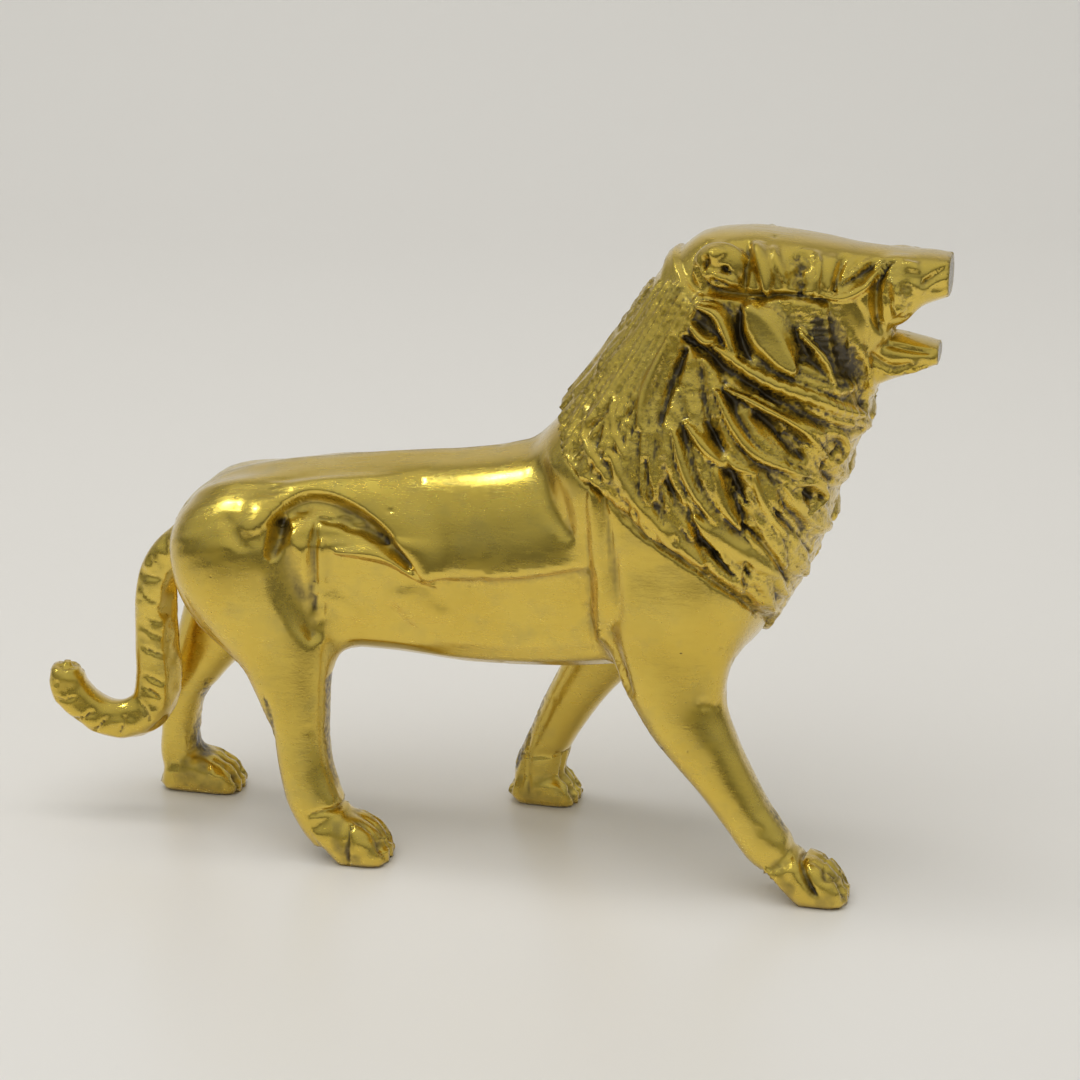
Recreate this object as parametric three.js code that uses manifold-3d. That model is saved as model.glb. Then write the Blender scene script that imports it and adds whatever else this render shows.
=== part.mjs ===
// A walking lion figurine in cast and polished brass. It is one solid casting: a barrel body on
// four striding legs, a hanging tail with a curled tip, a deep mane of carved locks and a raised
// head with open jaws. The lion faces +X, its right flank faces -Y, and it stands on Z = 0.
import * as THREE from "three";
import { mergeVertices } from "three/addons/utils/BufferGeometryUtils.js";
import Module from "manifold-3d";

const wasm = await Module();
wasm.setup();

// Driving dimensions, in millimetres.
const OVERALL_LENGTH = 153; // curl of the tail to the nose
const SIDES = [-1, 1]; // right, left
const SPINE_STEPS = 2; // rings from one station of a limb to the next
const TORSO_STEPS = 1;
const LIMB_SIDES = 11; // points around a leg or the tail
const CUTTER = 400; // size of a block that cuts away everything on one side of a plane
const SMALLEST = 0.03; // details below this size are merged in the finished mesh

// The barrel of the body. Each row: x, height of the belly, height of the back, half width.
const TORSO = [
  [-63.5, 47.0, 52.0, 3.5],
  [-61.0, 45.0, 57.0, 8.4],
  [-56.0, 41.4, 60.9, 12.4],
  [-49.5, 37.5, 63.4, 14.6],
  [-42.0, 35.0, 64.9, 15.2],
  [-33.0, 34.2, 66.1, 13.8],
  [-24.0, 34.0, 67.1, 13.4],
  [-12.0, 33.2, 68.4, 14.4],
  [0.0, 33.4, 70.7, 15.4],
  [12.0, 34.4, 75.0, 15.6],
  [24.0, 36.0, 76.0, 13.6],
];
// Outline of the barrel's section: height as a share of its depth, width as a share of its half width.
// The upper flank is a round bulge that ends in an edge over a flat, set-in lower flank.
const TORSO_SECTION = [
  [0.0, 0.0],
  [0.0, 0.45],
  [0.05, 0.68],
  [0.14, 0.8],
  [0.45, 0.9],
  [0.48, 1.01],
  [0.56, 0.985],
  [0.66, 0.925],
  [0.78, 0.82],
  [0.88, 0.67],
  [0.95, 0.45],
  [1.0, 0.0],
];

// Neck, mane and chest in level sections. Each row: height, rear x, front x, half width.
const NECK = [
  [34.0, 15.0, 31.0, 10.0],
  [39.0, 11.5, 36.5, 15.0],
  [45.0, 9.0, 40.6, 17.4],
  [52.0, 5.5, 44.4, 18.4],
  [59.0, 2.0, 47.2, 18.8],
  [66.0, -0.5, 49.2, 18.6],
  [71.5, 1.0, 51.0, 18.0],
  [77.0, 5.6, 53.2, 16.8],
  [84.0, 11.0, 54.0, 15.0],
  [91.0, 15.6, 52.6, 13.0],
  [97.0, 19.4, 48.6, 11.4],
  [102.0, 22.8, 46.0, 9.6],
  [105.2, 26.8, 43.0, 6.4],
];
const NECK_ROUNDNESS = 2.5; // exponent of the section's superellipse
const NECK_SIDES = 18;

// The skull and upper jaw in upright sections. Each row: x, underside, top, half width.
const SKULL = [
  [22.0, 92.0, 102.0, 6.0],
  [27.0, 86.0, 106.0, 9.2],
  [34.0, 82.0, 107.2, 11.2],
  [40.0, 81.0, 106.8, 11.8],
  [46.0, 82.4, 106.0, 10.8],
  [52.0, 84.6, 105.0, 9.0],
  [56.2, 88.0, 104.6, 7.6],
  [58.4, 93.6, 104.4, 7.2],
  [63.0, 96.0, 104.4, 6.6],
  [66.6, 97.4, 104.0, 5.6],
];
const LOWER_JAW = [
  [46.0, 78.0, 88.0, 6.5],
  [52.0, 80.8, 90.6, 6.2],
  [57.5, 83.4, 91.2, 5.4],
  [62.0, 85.0, 90.4, 4.9],
  [65.2, 86.4, 89.6, 4.0],
];
const HEAD_ROUNDNESS = 2.7;
const HEAD_SIDES = 13;
const EAR_HEIGHT = 102; // middle of the right ear above the ground
const EAR_DROP = 1.6; // how much lower the left ear sits
const JAW_SIDES = 10;
const JAW_ROUNDNESS = 2.6;

// Legs, from the shoulder or hip down to the ankle.
// Each row: x, y, z, half depth across the leg in side view, half width across the body.
// y is counted outwards from the middle of the body.
const HIND_LEG_RIGHT = [
  [-49.5, 4.5, 58.0, 6.0, 4.5],
  [-48.4, 8.4, 52.0, 11.4, 6.9],
  [-45.5, 9.2, 44.0, 10.4, 7.7],
  [-41.5, 10.4, 35.5, 8.6, 6.4],
  [-39.6, 11.9, 28.3, 6.4, 5.3],
  [-38.0, 13.1, 21.0, 4.7, 4.6],
  [-37.1, 13.9, 15.5, 4.5, 4.4],
  [-35.6, 14.6, 10.5, 4.7, 4.4],
  [-33.4, 15.0, 6.0, 4.2, 4.3],
  [-32.4, 15.0, 3.4, 3.2, 4.0],
];
const HIND_LEG_LEFT = [
  [-50.5, 4.5, 57.0, 6.0, 4.5],
  [-51.6, 8.4, 49.5, 9.4, 7.4],
  [-54.4, 9.2, 41.5, 8.1, 6.7],
  [-58.6, 10.0, 33.5, 7.2, 5.4],
  [-62.8, 10.8, 26.0, 5.3, 4.6],
  [-66.3, 11.5, 19.0, 3.7, 4.0],
  [-67.7, 12.0, 13.0, 3.3, 3.9],
  [-68.0, 12.2, 7.5, 3.6, 4.0],
  [-67.8, 12.3, 3.6, 3.4, 3.9],
];
const FRONT_LEG_RIGHT = [
  [24.5, 8.0, 58.0, 8.0, 6.0],
  [24.2, 10.0, 50.0, 12.8, 7.8],
  [24.8, 11.0, 42.5, 11.4, 7.5],
  [25.3, 12.4, 35.8, 9.2, 6.4],
  [27.2, 13.4, 29.3, 7.0, 5.5],
  [30.6, 14.6, 23.8, 5.6, 4.9],
  [34.4, 15.4, 18.5, 4.6, 4.5],
  [38.1, 16.2, 13.3, 4.0, 4.3],
  [41.8, 16.7, 8.4, 3.9, 4.3],
  [44.6, 16.9, 5.6, 2.4, 3.4],
];
const FRONT_LEG_LEFT = [
  [22.0, 8.0, 57.0, 8.0, 6.0],
  [20.4, 10.4, 48.0, 11.0, 7.4],
  [15.0, 12.4, 39.5, 8.6, 6.5],
  [9.2, 14.8, 31.0, 6.3, 5.6],
  [4.7, 16.5, 24.0, 5.0, 5.0],
  [0.8, 17.7, 17.5, 4.4, 4.7],
  [-2.2, 18.5, 11.5, 3.9, 4.5],
  [-3.9, 18.9, 6.4, 4.3, 4.5],
  [-4.2, 19.0, 3.4, 3.9, 4.2],
];
const LEG_ROUNDNESS = 2.5;

// Paws: x of the heel and the toes, y counted outwards, height of the instep, half width, and how
// high the heel is lifted and over what share of the paw's length.
const PAWS = [
  { side: -1, heel: -36.0, toes: -22.6, y: 15.0, instep: 8.3, half: 5.4, lift: 6.4, lifted: 0.44 },
  { side: 1, heel: -71.6, toes: -56.8, y: 12.4, instep: 7.2, half: 5.0, lift: 0.6, lifted: 0.1 },
  { side: -1, heel: 40.8, toes: 54.8, y: 17.0, instep: 8.0, half: 5.4, lift: 6.2, lifted: 0.48 },
  { side: 1, heel: -9.2, toes: 3.0, y: 19.0, instep: 6.6, half: 5.1, lift: 1.2, lifted: 0.2 },
];
// A paw from heel to toes: share of its length, share of the instep, share of the half width.
const PAW_PROFILE = [
  [0.0, 0.25, 0.5],
  [0.12, 0.72, 0.84],
  [0.35, 1.0, 0.95],
  [0.6, 0.94, 1.0],
  [0.8, 0.74, 0.98],
  [0.93, 0.5, 0.84],
  [1.0, 0.28, 0.6],
];
const TOES = 4; // on each paw
const TOE_SPREAD = 0.94; // all toes together, as a share of the paw's width
const TOE_CUT = 5; // height and length of the cut between two toes
const TOE_GAP = 0.7; // width of that cut
const TOE_CUT_TILT = 0.7;
const TOE_CUT_AHEAD = 0.6; // middle of the cut, from the toes and above the ground
const TOE_CUT_HEIGHT = 5;
const PAW_SIDES = 12;
const PAW_ROUNDNESS = 2.6;
const HEEL_THICKNESS = 1.2;
const LIFT_CURVE = 1.2; // exponent of the rise under the heel
const SOLE_SINK = 0.16; // how deep the round underside lies below the ground, as a share of height

// The fold of the flank in front of the thigh. Each row: x, height.
const FOLD = [
  [-42.0, 59.0],
  [-37.0, 62.0],
  [-30.5, 61.6],
  [-24.2, 58.4],
  [-19.2, 53.6],
  [-16.4, 48.8],
  [-16.8, 43.0],
];
const FOLD_WIDTH = 2.8;
const FOLD_RISE = 1.3;
const FOLD_SIDES = 6;
const FOLD_LIFT = 0.4; // how far the fold's middle stands out, as a share of its rise

// Rounded lumps: x, y, z of the middle, then half length, half width, half height and tilt.
const HAUNCH = [-49, 7.2, 47.6, 12.4, 8.6, 13.5, -0.2];
const TEMPLE_TUFT = [37.8, 9.4, 101.8, 1.7, 2.2, 4.6, -0.45];
const FLEW = [58.0, 4.6, 98.4, 4.4, 2.7, 5.6, 0.2];
const EYE_SOCKET = [52.6, 9.6, 102.4, 4.4, 1.9, 1.9, -0.55];
const NOSTRIL = [65.4, 5.4, 101.6, 1.6, 1.3, 1.3, 0];
// The ears have no height here, because the left one hangs a little lower.
const EAR = { x: 31.2, y: 9.8, half: [4.6, 2.6, 4.2], tilt: 0.3 };
const EAR_HOLLOW = { x: 30.9, y: 12.4, half: [2.2, 1.4, 2.4], tilt: 0.3 };

// Tail, from the rump down to the curled tip: x, y, z, half depth, half width.
const TAIL = [
  [-56.0, 0.0, 50.9, 3.0, 3.4],
  [-61.8, 0.0, 49.2, 3.2, 3.6],
  [-65.9, 0.0, 45.0, 3.1, 3.6],
  [-67.6, 0.0, 39.2, 3.1, 3.6],
  [-67.7, 0.0, 32.0, 3.2, 3.7],
  [-67.4, -0.4, 25.0, 3.4, 3.8],
  [-68.4, -0.9, 19.8, 3.5, 3.8],
  [-71.9, -1.5, 17.2, 3.4, 3.7],
  [-76.0, -2.0, 17.0, 3.2, 3.7],
  [-79.5, -2.5, 18.8, 3.1, 3.6],
  [-82.4, -2.9, 21.8, 3.2, 3.5],
  [-83.2, -3.1, 24.6, 3.0, 3.2],
  [-83.1, -3.1, 26.3, 2.2, 2.4],
  [-83.0, -3.1, 27.2, 0.6, 0.7],
];
const TAIL_TWIST = THREE.MathUtils.degToRad(16); // the tail's flat faces turn a little to the right
const TAIL_ROUNDNESS = 2.9;
const TAIL_NICKS = 8; // cuts across each side of the tail
const NICK_FROM = 2.6; // first cut, counted in rows of the tail
const NICK_TO = 9.4;
const NICK_DEPTH = 0.8;
const NICK_WIDTH = 0.9;
const NICK_SLANT = 0.25;
const NICK_LEAN = 0.3; // turn of a cut towards the back of the tail
const NICK_LENGTH = 1.7; // as a share of the tail's half depth
const NICK_AFT = 0.8; // how far the cuts lie behind the tail's middle line

// Locks of the mane fan out from a point behind the ear, seen from the side.
const FAN_X = 27;
const FAN_Z = 97.5;
// How far the mane reaches from that point. Each row: direction (degrees forward of straight
// down), distance to the mane's hem.
const HEM = [
  [-52, 30],
  [-26, 35],
  [0, 42],
  [15, 54],
  [34, 46],
  [58, 34],
];
// Tiers of locks. Each: distance of the roots as a share of the reach, number of locks, length as
// a share of the reach, half width, rise above the mane.
const TIERS = [
  { root: 0.24, count: 6, length: 0.34, half: 2.9, rise: 2.2 },
  { root: 0.46, count: 7, length: 0.34, half: 3.1, rise: 2.2 },
  { root: 0.7, count: 7, length: 0.34, half: 3.2, rise: 1.8 },
];
const LOCK_CURL = 0.22; // forward bend of a lock, as a share of its length
const LOCK_SINK = 0.7; // depth of a lock's middle below the mane's surface
const MANE_RISE = 1.0; // how far the mane stands out of the chest at its hem
const HEM_PLANE_X = 22; // a point of the hem, and the slope of the hem seen from the side
const HEM_PLANE_Z = 60.5;
const HEM_SLOPE = THREE.MathUtils.degToRad(43);
const LOCK_STEPS = 3;
const LOCK_SIDES = 4;
const WRAP = 1.2; // length of the mane from the side to the throat, as a share of its half length
// The long tuft that runs from behind the ear to the throat: x, height, half width.
const SWEEP = [
  [30.0, 93.0, 1.2],
  [34.0, 89.6, 3.0],
  [39.5, 86.4, 3.6],
  [45.5, 83.0, 3.2],
  [51.0, 80.0, 2.4],
  [55.5, 77.8, 1.0],
];
const SWEEP_RISE = 0.67; // height of the tuft for each millimetre of its half width
const SWEEP_STEPS = 7;
const SWEEP_SIDES = 6;

// The point at angle t on a superellipse with half sizes 1.
function superellipse(t, exponent) {
  const shape = (v) => Math.sign(v) * Math.abs(v) ** (2 / exponent);
  return [shape(Math.cos(t)), shape(Math.sin(t))];
}

// Values of a table between its rows, on a Catmull-Rom curve. u runs from 0 to the last row.
function between(table, u) {
  const i = Math.min(Math.floor(u), table.length - 2);
  const f = u - i;
  const [a, b] = [table[i], table[i + 1]];
  const before = table[i - 1] ?? a.map((v, k) => 2 * v - b[k]);
  const after = table[i + 2] ?? b.map((v, k) => 2 * v - a[k]);
  return a.map((v, k) => {
    const [m0, m1] = [(b[k] - before[k]) / 2, (after[k] - v) / 2];
    return (
      (2 * v - 2 * b[k] + m0 + m1) * f ** 3 +
      (-3 * v + 3 * b[k] - 2 * m0 - m1) * f ** 2 +
      m0 * f +
      v
    );
  });
}

// All rows of a table with `steps` rings from each row to the next.
function refine(table, steps = SPINE_STEPS) {
  const count = (table.length - 1) * steps;
  return Array.from({ length: count + 1 }, (_, i) => between(table, i / steps));
}

// A closed geometry through rings of points, with a fan over each end.
function skin(rings) {
  const sides = rings[0].length;
  const points = rings.flat();
  const faces = [];
  for (let i = 0; i + 1 < rings.length; i++) {
    for (let j = 0; j < sides; j++) {
      const k = (j + 1) % sides;
      const [a, b] = [i * sides + j, i * sides + k];
      faces.push(a, b, a + sides, b, b + sides, a + sides);
    }
  }
  for (const [ring, turn] of [[0, false], [rings.length - 1, true]]) {
    const middle = new THREE.Vector3();
    rings[ring].forEach((p) => middle.add(p));
    points.push(middle.divideScalar(sides));
    for (let j = 0; j < sides; j++) {
      const edge = [ring * sides + j, ring * sides + ((j + 1) % sides)];
      if (turn) faces.push(edge[0], edge[1], points.length - 1);
      else faces.push(edge[1], edge[0], points.length - 1);
    }
  }
  return new THREE.BufferGeometry().setFromPoints(points).setIndex(faces);
}

// A geometry as a solid that can be joined and cut.
function solidOf(geometry) {
  const bare = geometry.clone();
  bare.deleteAttribute("normal");
  bare.deleteAttribute("uv");
  const merged = mergeVertices(bare, 1e-4);
  const mesh = new wasm.Mesh({
    numProp: 3,
    vertProperties: merged.attributes.position.array,
    triVerts: new Uint32Array(merged.index.array),
  });
  const solid = new wasm.Manifold(mesh);
  if (solid.volume() > 0) return solid;
  // The rings ran the other way round, so its faces are turned.
  for (let i = 0; i < mesh.triVerts.length; i += 3) {
    const first = mesh.triVerts[i + 1];
    mesh.triVerts[i + 1] = mesh.triVerts[i + 2];
    mesh.triVerts[i + 2] = first;
  }
  return new wasm.Manifold(mesh);
}

// A limb with an oval section across its line. Rows: x, y, z, half depth, half width.
function limb(table, sides, exponent, twist = 0) {
  const rows = refine(table);
  const rings = rows.map(([x, y, z, depth, width], i) => {
    const [before, after] = [rows[Math.max(i - 1, 0)], rows[Math.min(i + 1, rows.length - 1)]];
    const along = new THREE.Vector3(after[0] - before[0], 0, after[2] - before[2]).normalize();
    const across = new THREE.Vector3(-along.z, 0, along.x);
    const wide = new THREE.Vector3(0, 1, 0);
    across.applyAxisAngle(along, twist);
    wide.applyAxisAngle(along, twist);
    return Array.from({ length: sides }, (_, j) => {
      const [c, s] = superellipse((2 * Math.PI * j) / sides, exponent);
      return new THREE.Vector3(x, y, z)
        .addScaledVector(across, c * depth)
        .addScaledVector(wide, s * width);
    });
  });
  return solidOf(skin(rings));
}

// Upright sections along X. Rows: x, underside, top, half width.
function uprightLoft(table, sides, exponent) {
  const rings = table.map(([x, low, high, half]) =>
    Array.from({ length: sides }, (_, j) => {
      const [c, s] = superellipse((2 * Math.PI * (j + 0.5)) / sides, exponent);
      return new THREE.Vector3(x, half * c, (low + high) / 2 + ((high - low) / 2) * s);
    }),
  );
  return solidOf(skin(rings));
}

// Distance of the barrel's surface from the middle of the body, at a place seen from the side.
function flankAt(x, z) {
  const i = Math.max(TORSO.findLastIndex((row) => row[0] <= x), 0);
  const share = (x - TORSO[i][0]) / (TORSO[i + 1][0] - TORSO[i][0]);
  const [, low, high, half] = between(TORSO, i + share);
  const up = THREE.MathUtils.clamp((z - low) / (high - low), 0, 0.999);
  const j = TORSO_SECTION.findLastIndex((row) => row[0] <= up);
  const [[upA, outA], [upB, outB]] = [TORSO_SECTION[j], TORSO_SECTION[j + 1]];
  return half * THREE.MathUtils.mapLinear(up, upA, upB, outA, outB);
}

function torso() {
  const left = TORSO_SECTION.map(([up, out]) => [up, out]);
  const right = TORSO_SECTION.slice(1, -1).reverse().map(([up, out]) => [up, -out]);
  const outline = [...left, ...right];
  const rings = refine(TORSO, TORSO_STEPS).map(([x, low, high, half]) =>
    outline.map(([up, out]) => new THREE.Vector3(x, out * half, low + up * (high - low))),
  );
  return solidOf(skin(rings));
}

// The neck's section at a height: middle, half length and half width.
function neckAt(z) {
  const heights = NECK.map((row) => row[0]);
  const clamped = THREE.MathUtils.clamp(z, heights[0], heights.at(-1));
  const i = Math.min(heights.findLastIndex((h) => h <= clamped), heights.length - 2);
  const share = (clamped - heights[i]) / (heights[i + 1] - heights[i]);
  const [, rear, front, half] = between(NECK, i + share);
  return { middle: (rear + front) / 2, long: (front - rear) / 2, wide: half };
}

// A point of the neck's surface: angle 0 is the throat, a quarter turn is the flank.
function neckPoint(angle, z, side, out = 0) {
  const { middle, long, wide } = neckAt(z);
  const [c, s] = superellipse(angle, NECK_ROUNDNESS);
  return new THREE.Vector3(middle + (long + out) * c, side * (wide + out) * s, z);
}

// The neck and chest, thickened outwards by `out`.
function neck(out) {
  const rings = NECK.map(([z]) =>
    Array.from({ length: NECK_SIDES }, (_, j) =>
      neckPoint((2 * Math.PI * j) / NECK_SIDES, z, 1, out),
    ),
  );
  return solidOf(skin(rings));
}

// The mane: a thicker neck that ends at the slanting hem.
function mane() {
  const below = new THREE.BoxGeometry(CUTTER, CUTTER, CUTTER).translate(0, 0, -CUTTER / 2);
  below.rotateY(HEM_SLOPE).translate(HEM_PLANE_X, 0, HEM_PLANE_Z);
  return neck(MANE_RISE).subtract(solidOf(below));
}

// A place on the mane, given as it looks from the side with the throat and nape rolled out flat.
function manePoint(flatX, z, side, out) {
  const { middle, long } = neckAt(z);
  const turn = THREE.MathUtils.clamp((flatX - middle) / (WRAP * long), -1, 1);
  return neckPoint((Math.PI / 2) * (1 - turn), z, side, MANE_RISE + out);
}

// A band of hair that lies on the mane along a path of flat places, root first.
// path(share) gives x and height in the flat side view, swell(share) its half width and rise.
function hair(path, swell, side, steps, sides) {
  const at = (share, out) => manePoint(...path(share), side, out);
  const rings = [];
  for (let i = 0; i <= steps; i++) {
    const share = i / steps;
    const centre = at(share, -LOCK_SINK);
    const along = at(share + 0.02, 0).sub(at(share - 0.02, 0)).normalize();
    const out = at(share, 1).sub(at(share, 0)).normalize();
    const wide = new THREE.Vector3().crossVectors(along, out).normalize();
    const [half, rise] = swell(share);
    rings.push(
      Array.from({ length: sides }, (_, j) => {
        const t = Math.PI / 2 + (2 * Math.PI * j) / sides;
        return centre
          .clone()
          .addScaledVector(wide, half * Math.cos(t))
          .addScaledVector(out, rise * Math.sin(t));
      }),
    );
  }
  return solidOf(skin(rings));
}

// Distance from the fan's point to the hem of the mane in a direction.
function reachAt(degrees) {
  const i = Math.min(HEM.findLastIndex(([at]) => at <= degrees), HEM.length - 2);
  const [[a, near], [b, far]] = [HEM[i], HEM[i + 1]];
  return THREE.MathUtils.mapLinear(degrees, a, b, near, far);
}

// A flame-shaped lock with its point down and bent forward.
function lock(tier, degrees, side) {
  const reach = reachAt(degrees);
  const direction = THREE.MathUtils.degToRad(degrees);
  const [c, s] = [Math.cos(direction), Math.sin(direction)];
  const length = tier.length * reach;
  const path = (share) => {
    const away = tier.root * reach + length * share;
    const aside = LOCK_CURL * length * share * share;
    return [FAN_X + away * s + aside * c, FAN_Z - away * c + aside * s];
  };
  const swell = (share) => {
    const full = Math.sin(Math.PI * (0.14 + 0.8 * share ** 0.8)) ** 0.8;
    return [tier.half * full, (tier.rise + LOCK_SINK) * full];
  };
  return hair(path, swell, side, LOCK_STEPS, LOCK_SIDES);
}

// The long smooth tuft below the cheek.
function sweep(side) {
  const last = SWEEP.length - 1;
  const place = (share) => between(SWEEP, THREE.MathUtils.clamp(share, 0, 1) * last);
  const path = (share) => place(share).slice(0, 2);
  const swell = (share) => {
    const half = place(share)[2];
    return [half, LOCK_SINK + SWEEP_RISE * half];
  };
  return hair(path, swell, side, SWEEP_STEPS, SWEEP_SIDES);
}

function maneLocks() {
  const locks = [];
  const [first, last] = [HEM[0][0], HEM.at(-1)[0]];
  for (const side of SIDES) {
    for (const [row, tier] of TIERS.entries()) {
      for (let i = 0; i < tier.count; i++) {
        const share = (i + (row % 2 ? 0.25 : 0.6)) / tier.count;
        locks.push(lock(tier, THREE.MathUtils.lerp(first, last, share), side));
      }
    }
    locks.push(sweep(side));
  }
  return locks;
}

// An ellipsoid, as a joined lump or as the tool that cuts a hollow.
function lump(side, [x, y, z, halfLength, halfWidth, halfHeight, tilt]) {
  const ball = new THREE.SphereGeometry(1, 8, 6).rotateX(Math.PI / 2);
  ball.scale(halfLength, halfWidth, halfHeight).rotateY(tilt).translate(x, side * y, z);
  return solidOf(ball);
}

// A paw: a low rounded block with a flat sole and slanting cuts between its toes.
function paw({ side, heel, toes, y, instep, half, lift, lifted }) {
  const length = toes - heel;
  const rings = PAW_PROFILE.map(([share, tall, wide]) => {
    const raised = THREE.MathUtils.clamp(1 - share / lifted, 0, 1);
    const top = Math.max(instep * tall, lift * raised + HEEL_THICKNESS);
    const low = lift * raised ** LIFT_CURVE - SOLE_SINK * instep * tall * (1 - raised);
    return Array.from({ length: PAW_SIDES }, (_, j) => {
      const [c, s] = superellipse((2 * Math.PI * (j + 0.5)) / PAW_SIDES, PAW_ROUNDNESS);
      const z = (top + low) / 2 + ((top - low) / 2) * s;
      return new THREE.Vector3(heel + share * length, side * y + half * wide * c, z);
    });
  });
  let foot = solidOf(skin(rings));
  const pitch = (2 * half * TOE_SPREAD) / TOES;
  for (let i = 1; i < TOES; i++) {
    const cut = new THREE.BoxGeometry(TOE_CUT, TOE_GAP, TOE_CUT).rotateY(TOE_CUT_TILT);
    cut.translate(toes + TOE_CUT_AHEAD, side * y + (i - TOES / 2) * pitch, TOE_CUT_HEIGHT);
    foot = foot.subtract(solidOf(cut));
  }
  return foot;
}

// Shallow slanting cuts across the right and left faces of the tail.
function tailNicks() {
  const nicks = [];
  for (let i = 0; i < TAIL_NICKS; i++) {
    const u = NICK_FROM + ((NICK_TO - NICK_FROM) * i) / (TAIL_NICKS - 1);
    const [x, y, z, depth, width] = between(TAIL, u);
    const [nextX, , nextZ] = between(TAIL, u + 0.05);
    const tilt = Math.atan2(nextX - x, z - nextZ);
    for (const side of SIDES) {
      const bar = new THREE.BoxGeometry(depth * NICK_LENGTH, NICK_DEPTH * 2, NICK_WIDTH);
      bar.rotateY(-tilt + NICK_SLANT).rotateZ(-side * NICK_LEAN);
      nicks.push(solidOf(bar.translate(x - NICK_AFT, y + side * width, z)));
    }
  }
  return nicks;
}

// The fold of the flank: a raised arch between the thigh and the belly.
function flankFold(side) {
  const last = FOLD.length - 1;
  const rings = FOLD.map(([x, z], i) => {
    const [lastX, lastZ] = FOLD[Math.max(i - 1, 0)];
    const [nextX, nextZ] = FOLD[Math.min(i + 1, last)];
    const wide = new THREE.Vector3(lastZ - nextZ, 0, nextX - lastX).normalize();
    const taper = Math.sin(Math.PI * (0.12 + (0.76 * i) / last));
    return Array.from({ length: FOLD_SIDES }, (_, j) => {
      const t = (2 * Math.PI * j) / FOLD_SIDES;
      const reach = FOLD_WIDTH * taper * Math.cos(t);
      const place = new THREE.Vector3(x, 0, z).addScaledVector(wide, reach);
      const out = FOLD_RISE * taper * (FOLD_LIFT + Math.sin(t));
      place.y = side * (flankAt(place.x, place.z) + out);
      return place;
    });
  });
  return solidOf(skin(rings));
}

const sided = (table, side) => table.map(([x, y, ...rest]) => [x, side * y, ...rest]);
const join = (solids) => solids.reduce((whole, piece) => whole.add(piece));
const cutAll = (solid, tools) => tools.reduce((left, tool) => left.subtract(tool), solid);

const legs = [
  limb(sided(HIND_LEG_RIGHT, -1), LIMB_SIDES, LEG_ROUNDNESS),
  limb(sided(HIND_LEG_LEFT, 1), LIMB_SIDES, LEG_ROUNDNESS),
  limb(sided(FRONT_LEG_RIGHT, -1), LIMB_SIDES, LEG_ROUNDNESS),
  limb(sided(FRONT_LEG_LEFT, 1), LIMB_SIDES, LEG_ROUNDNESS),
];

// Head: ears, temple tufts and flews are joined on, then eyes, ears and nostrils are cut in.
function head() {
  const skull = uprightLoft(SKULL, HEAD_SIDES, HEAD_ROUNDNESS);
  const jaw = uprightLoft(LOWER_JAW, JAW_SIDES, JAW_ROUNDNESS);
  const parts = [skull, jaw];
  const cuts = [];
  for (const side of SIDES) {
    const earHeight = EAR_HEIGHT - (side > 0 ? EAR_DROP : 0);
    const atEar = ({ x, y, half, tilt }) => lump(side, [x, y, earHeight, ...half, tilt]);
    parts.push(atEar(EAR), lump(side, TEMPLE_TUFT), lump(side, FLEW));
    cuts.push(atEar(EAR_HOLLOW), lump(side, EYE_SOCKET), lump(side, NOSTRIL));
  }
  return cutAll(join(parts), cuts);
}

const tail = cutAll(limb(TAIL, LIMB_SIDES, TAIL_ROUNDNESS, TAIL_TWIST), tailNicks());

const haunches = SIDES.map((side) => lump(side, HAUNCH));
const folds = SIDES.map(flankFold);
const body = [torso(), neck(0), mane(), ...maneLocks(), head(), tail, ...haunches, ...folds];

let lion = join([...body, ...legs, ...PAWS.map(paw)]);

// The soles are level: everything below the ground is cut away.
const ground = new THREE.BoxGeometry(CUTTER, CUTTER, CUTTER).translate(0, 0, -CUTTER / 2);
lion = lion.subtract(solidOf(ground)).simplify(SMALLEST);

// The casting is brought to its overall length, with the origin under the middle of its box.
const raw = lion.boundingBox();
const scale = OVERALL_LENGTH / (raw.max[0] - raw.min[0]);
lion = lion.scale(scale);
const box = lion.boundingBox();
lion = lion.translate([
  -(box.min[0] + box.max[0]) / 2,
  -(box.min[1] + box.max[1]) / 2,
  -box.min[2],
]);

const result = lion.getMesh();
const geometry = new THREE.BufferGeometry();
geometry.setAttribute("position", new THREE.BufferAttribute(result.vertProperties, 3));
geometry.setIndex(new THREE.BufferAttribute(result.triVerts, 1));
geometry.computeVertexNormals();

const brass = new THREE.MeshStandardMaterial({ color: 0xc4a548, roughness: 0.28, metalness: 1 });
const mesh = new THREE.Mesh(geometry, brass);
mesh.name = "lion";

const figurine = new THREE.Group();
figurine.add(mesh);
export default figurine;
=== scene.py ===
# Looks of the brass lion figurine. The casting's surface is worked out here as one fine mesh:
# a smooth body made of blended limbs, with the carver's relief raised from it and cut into it.
# Sizes are in millimetres in the sculptor's own place, and are moved to the frame at the end.
import math

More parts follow.
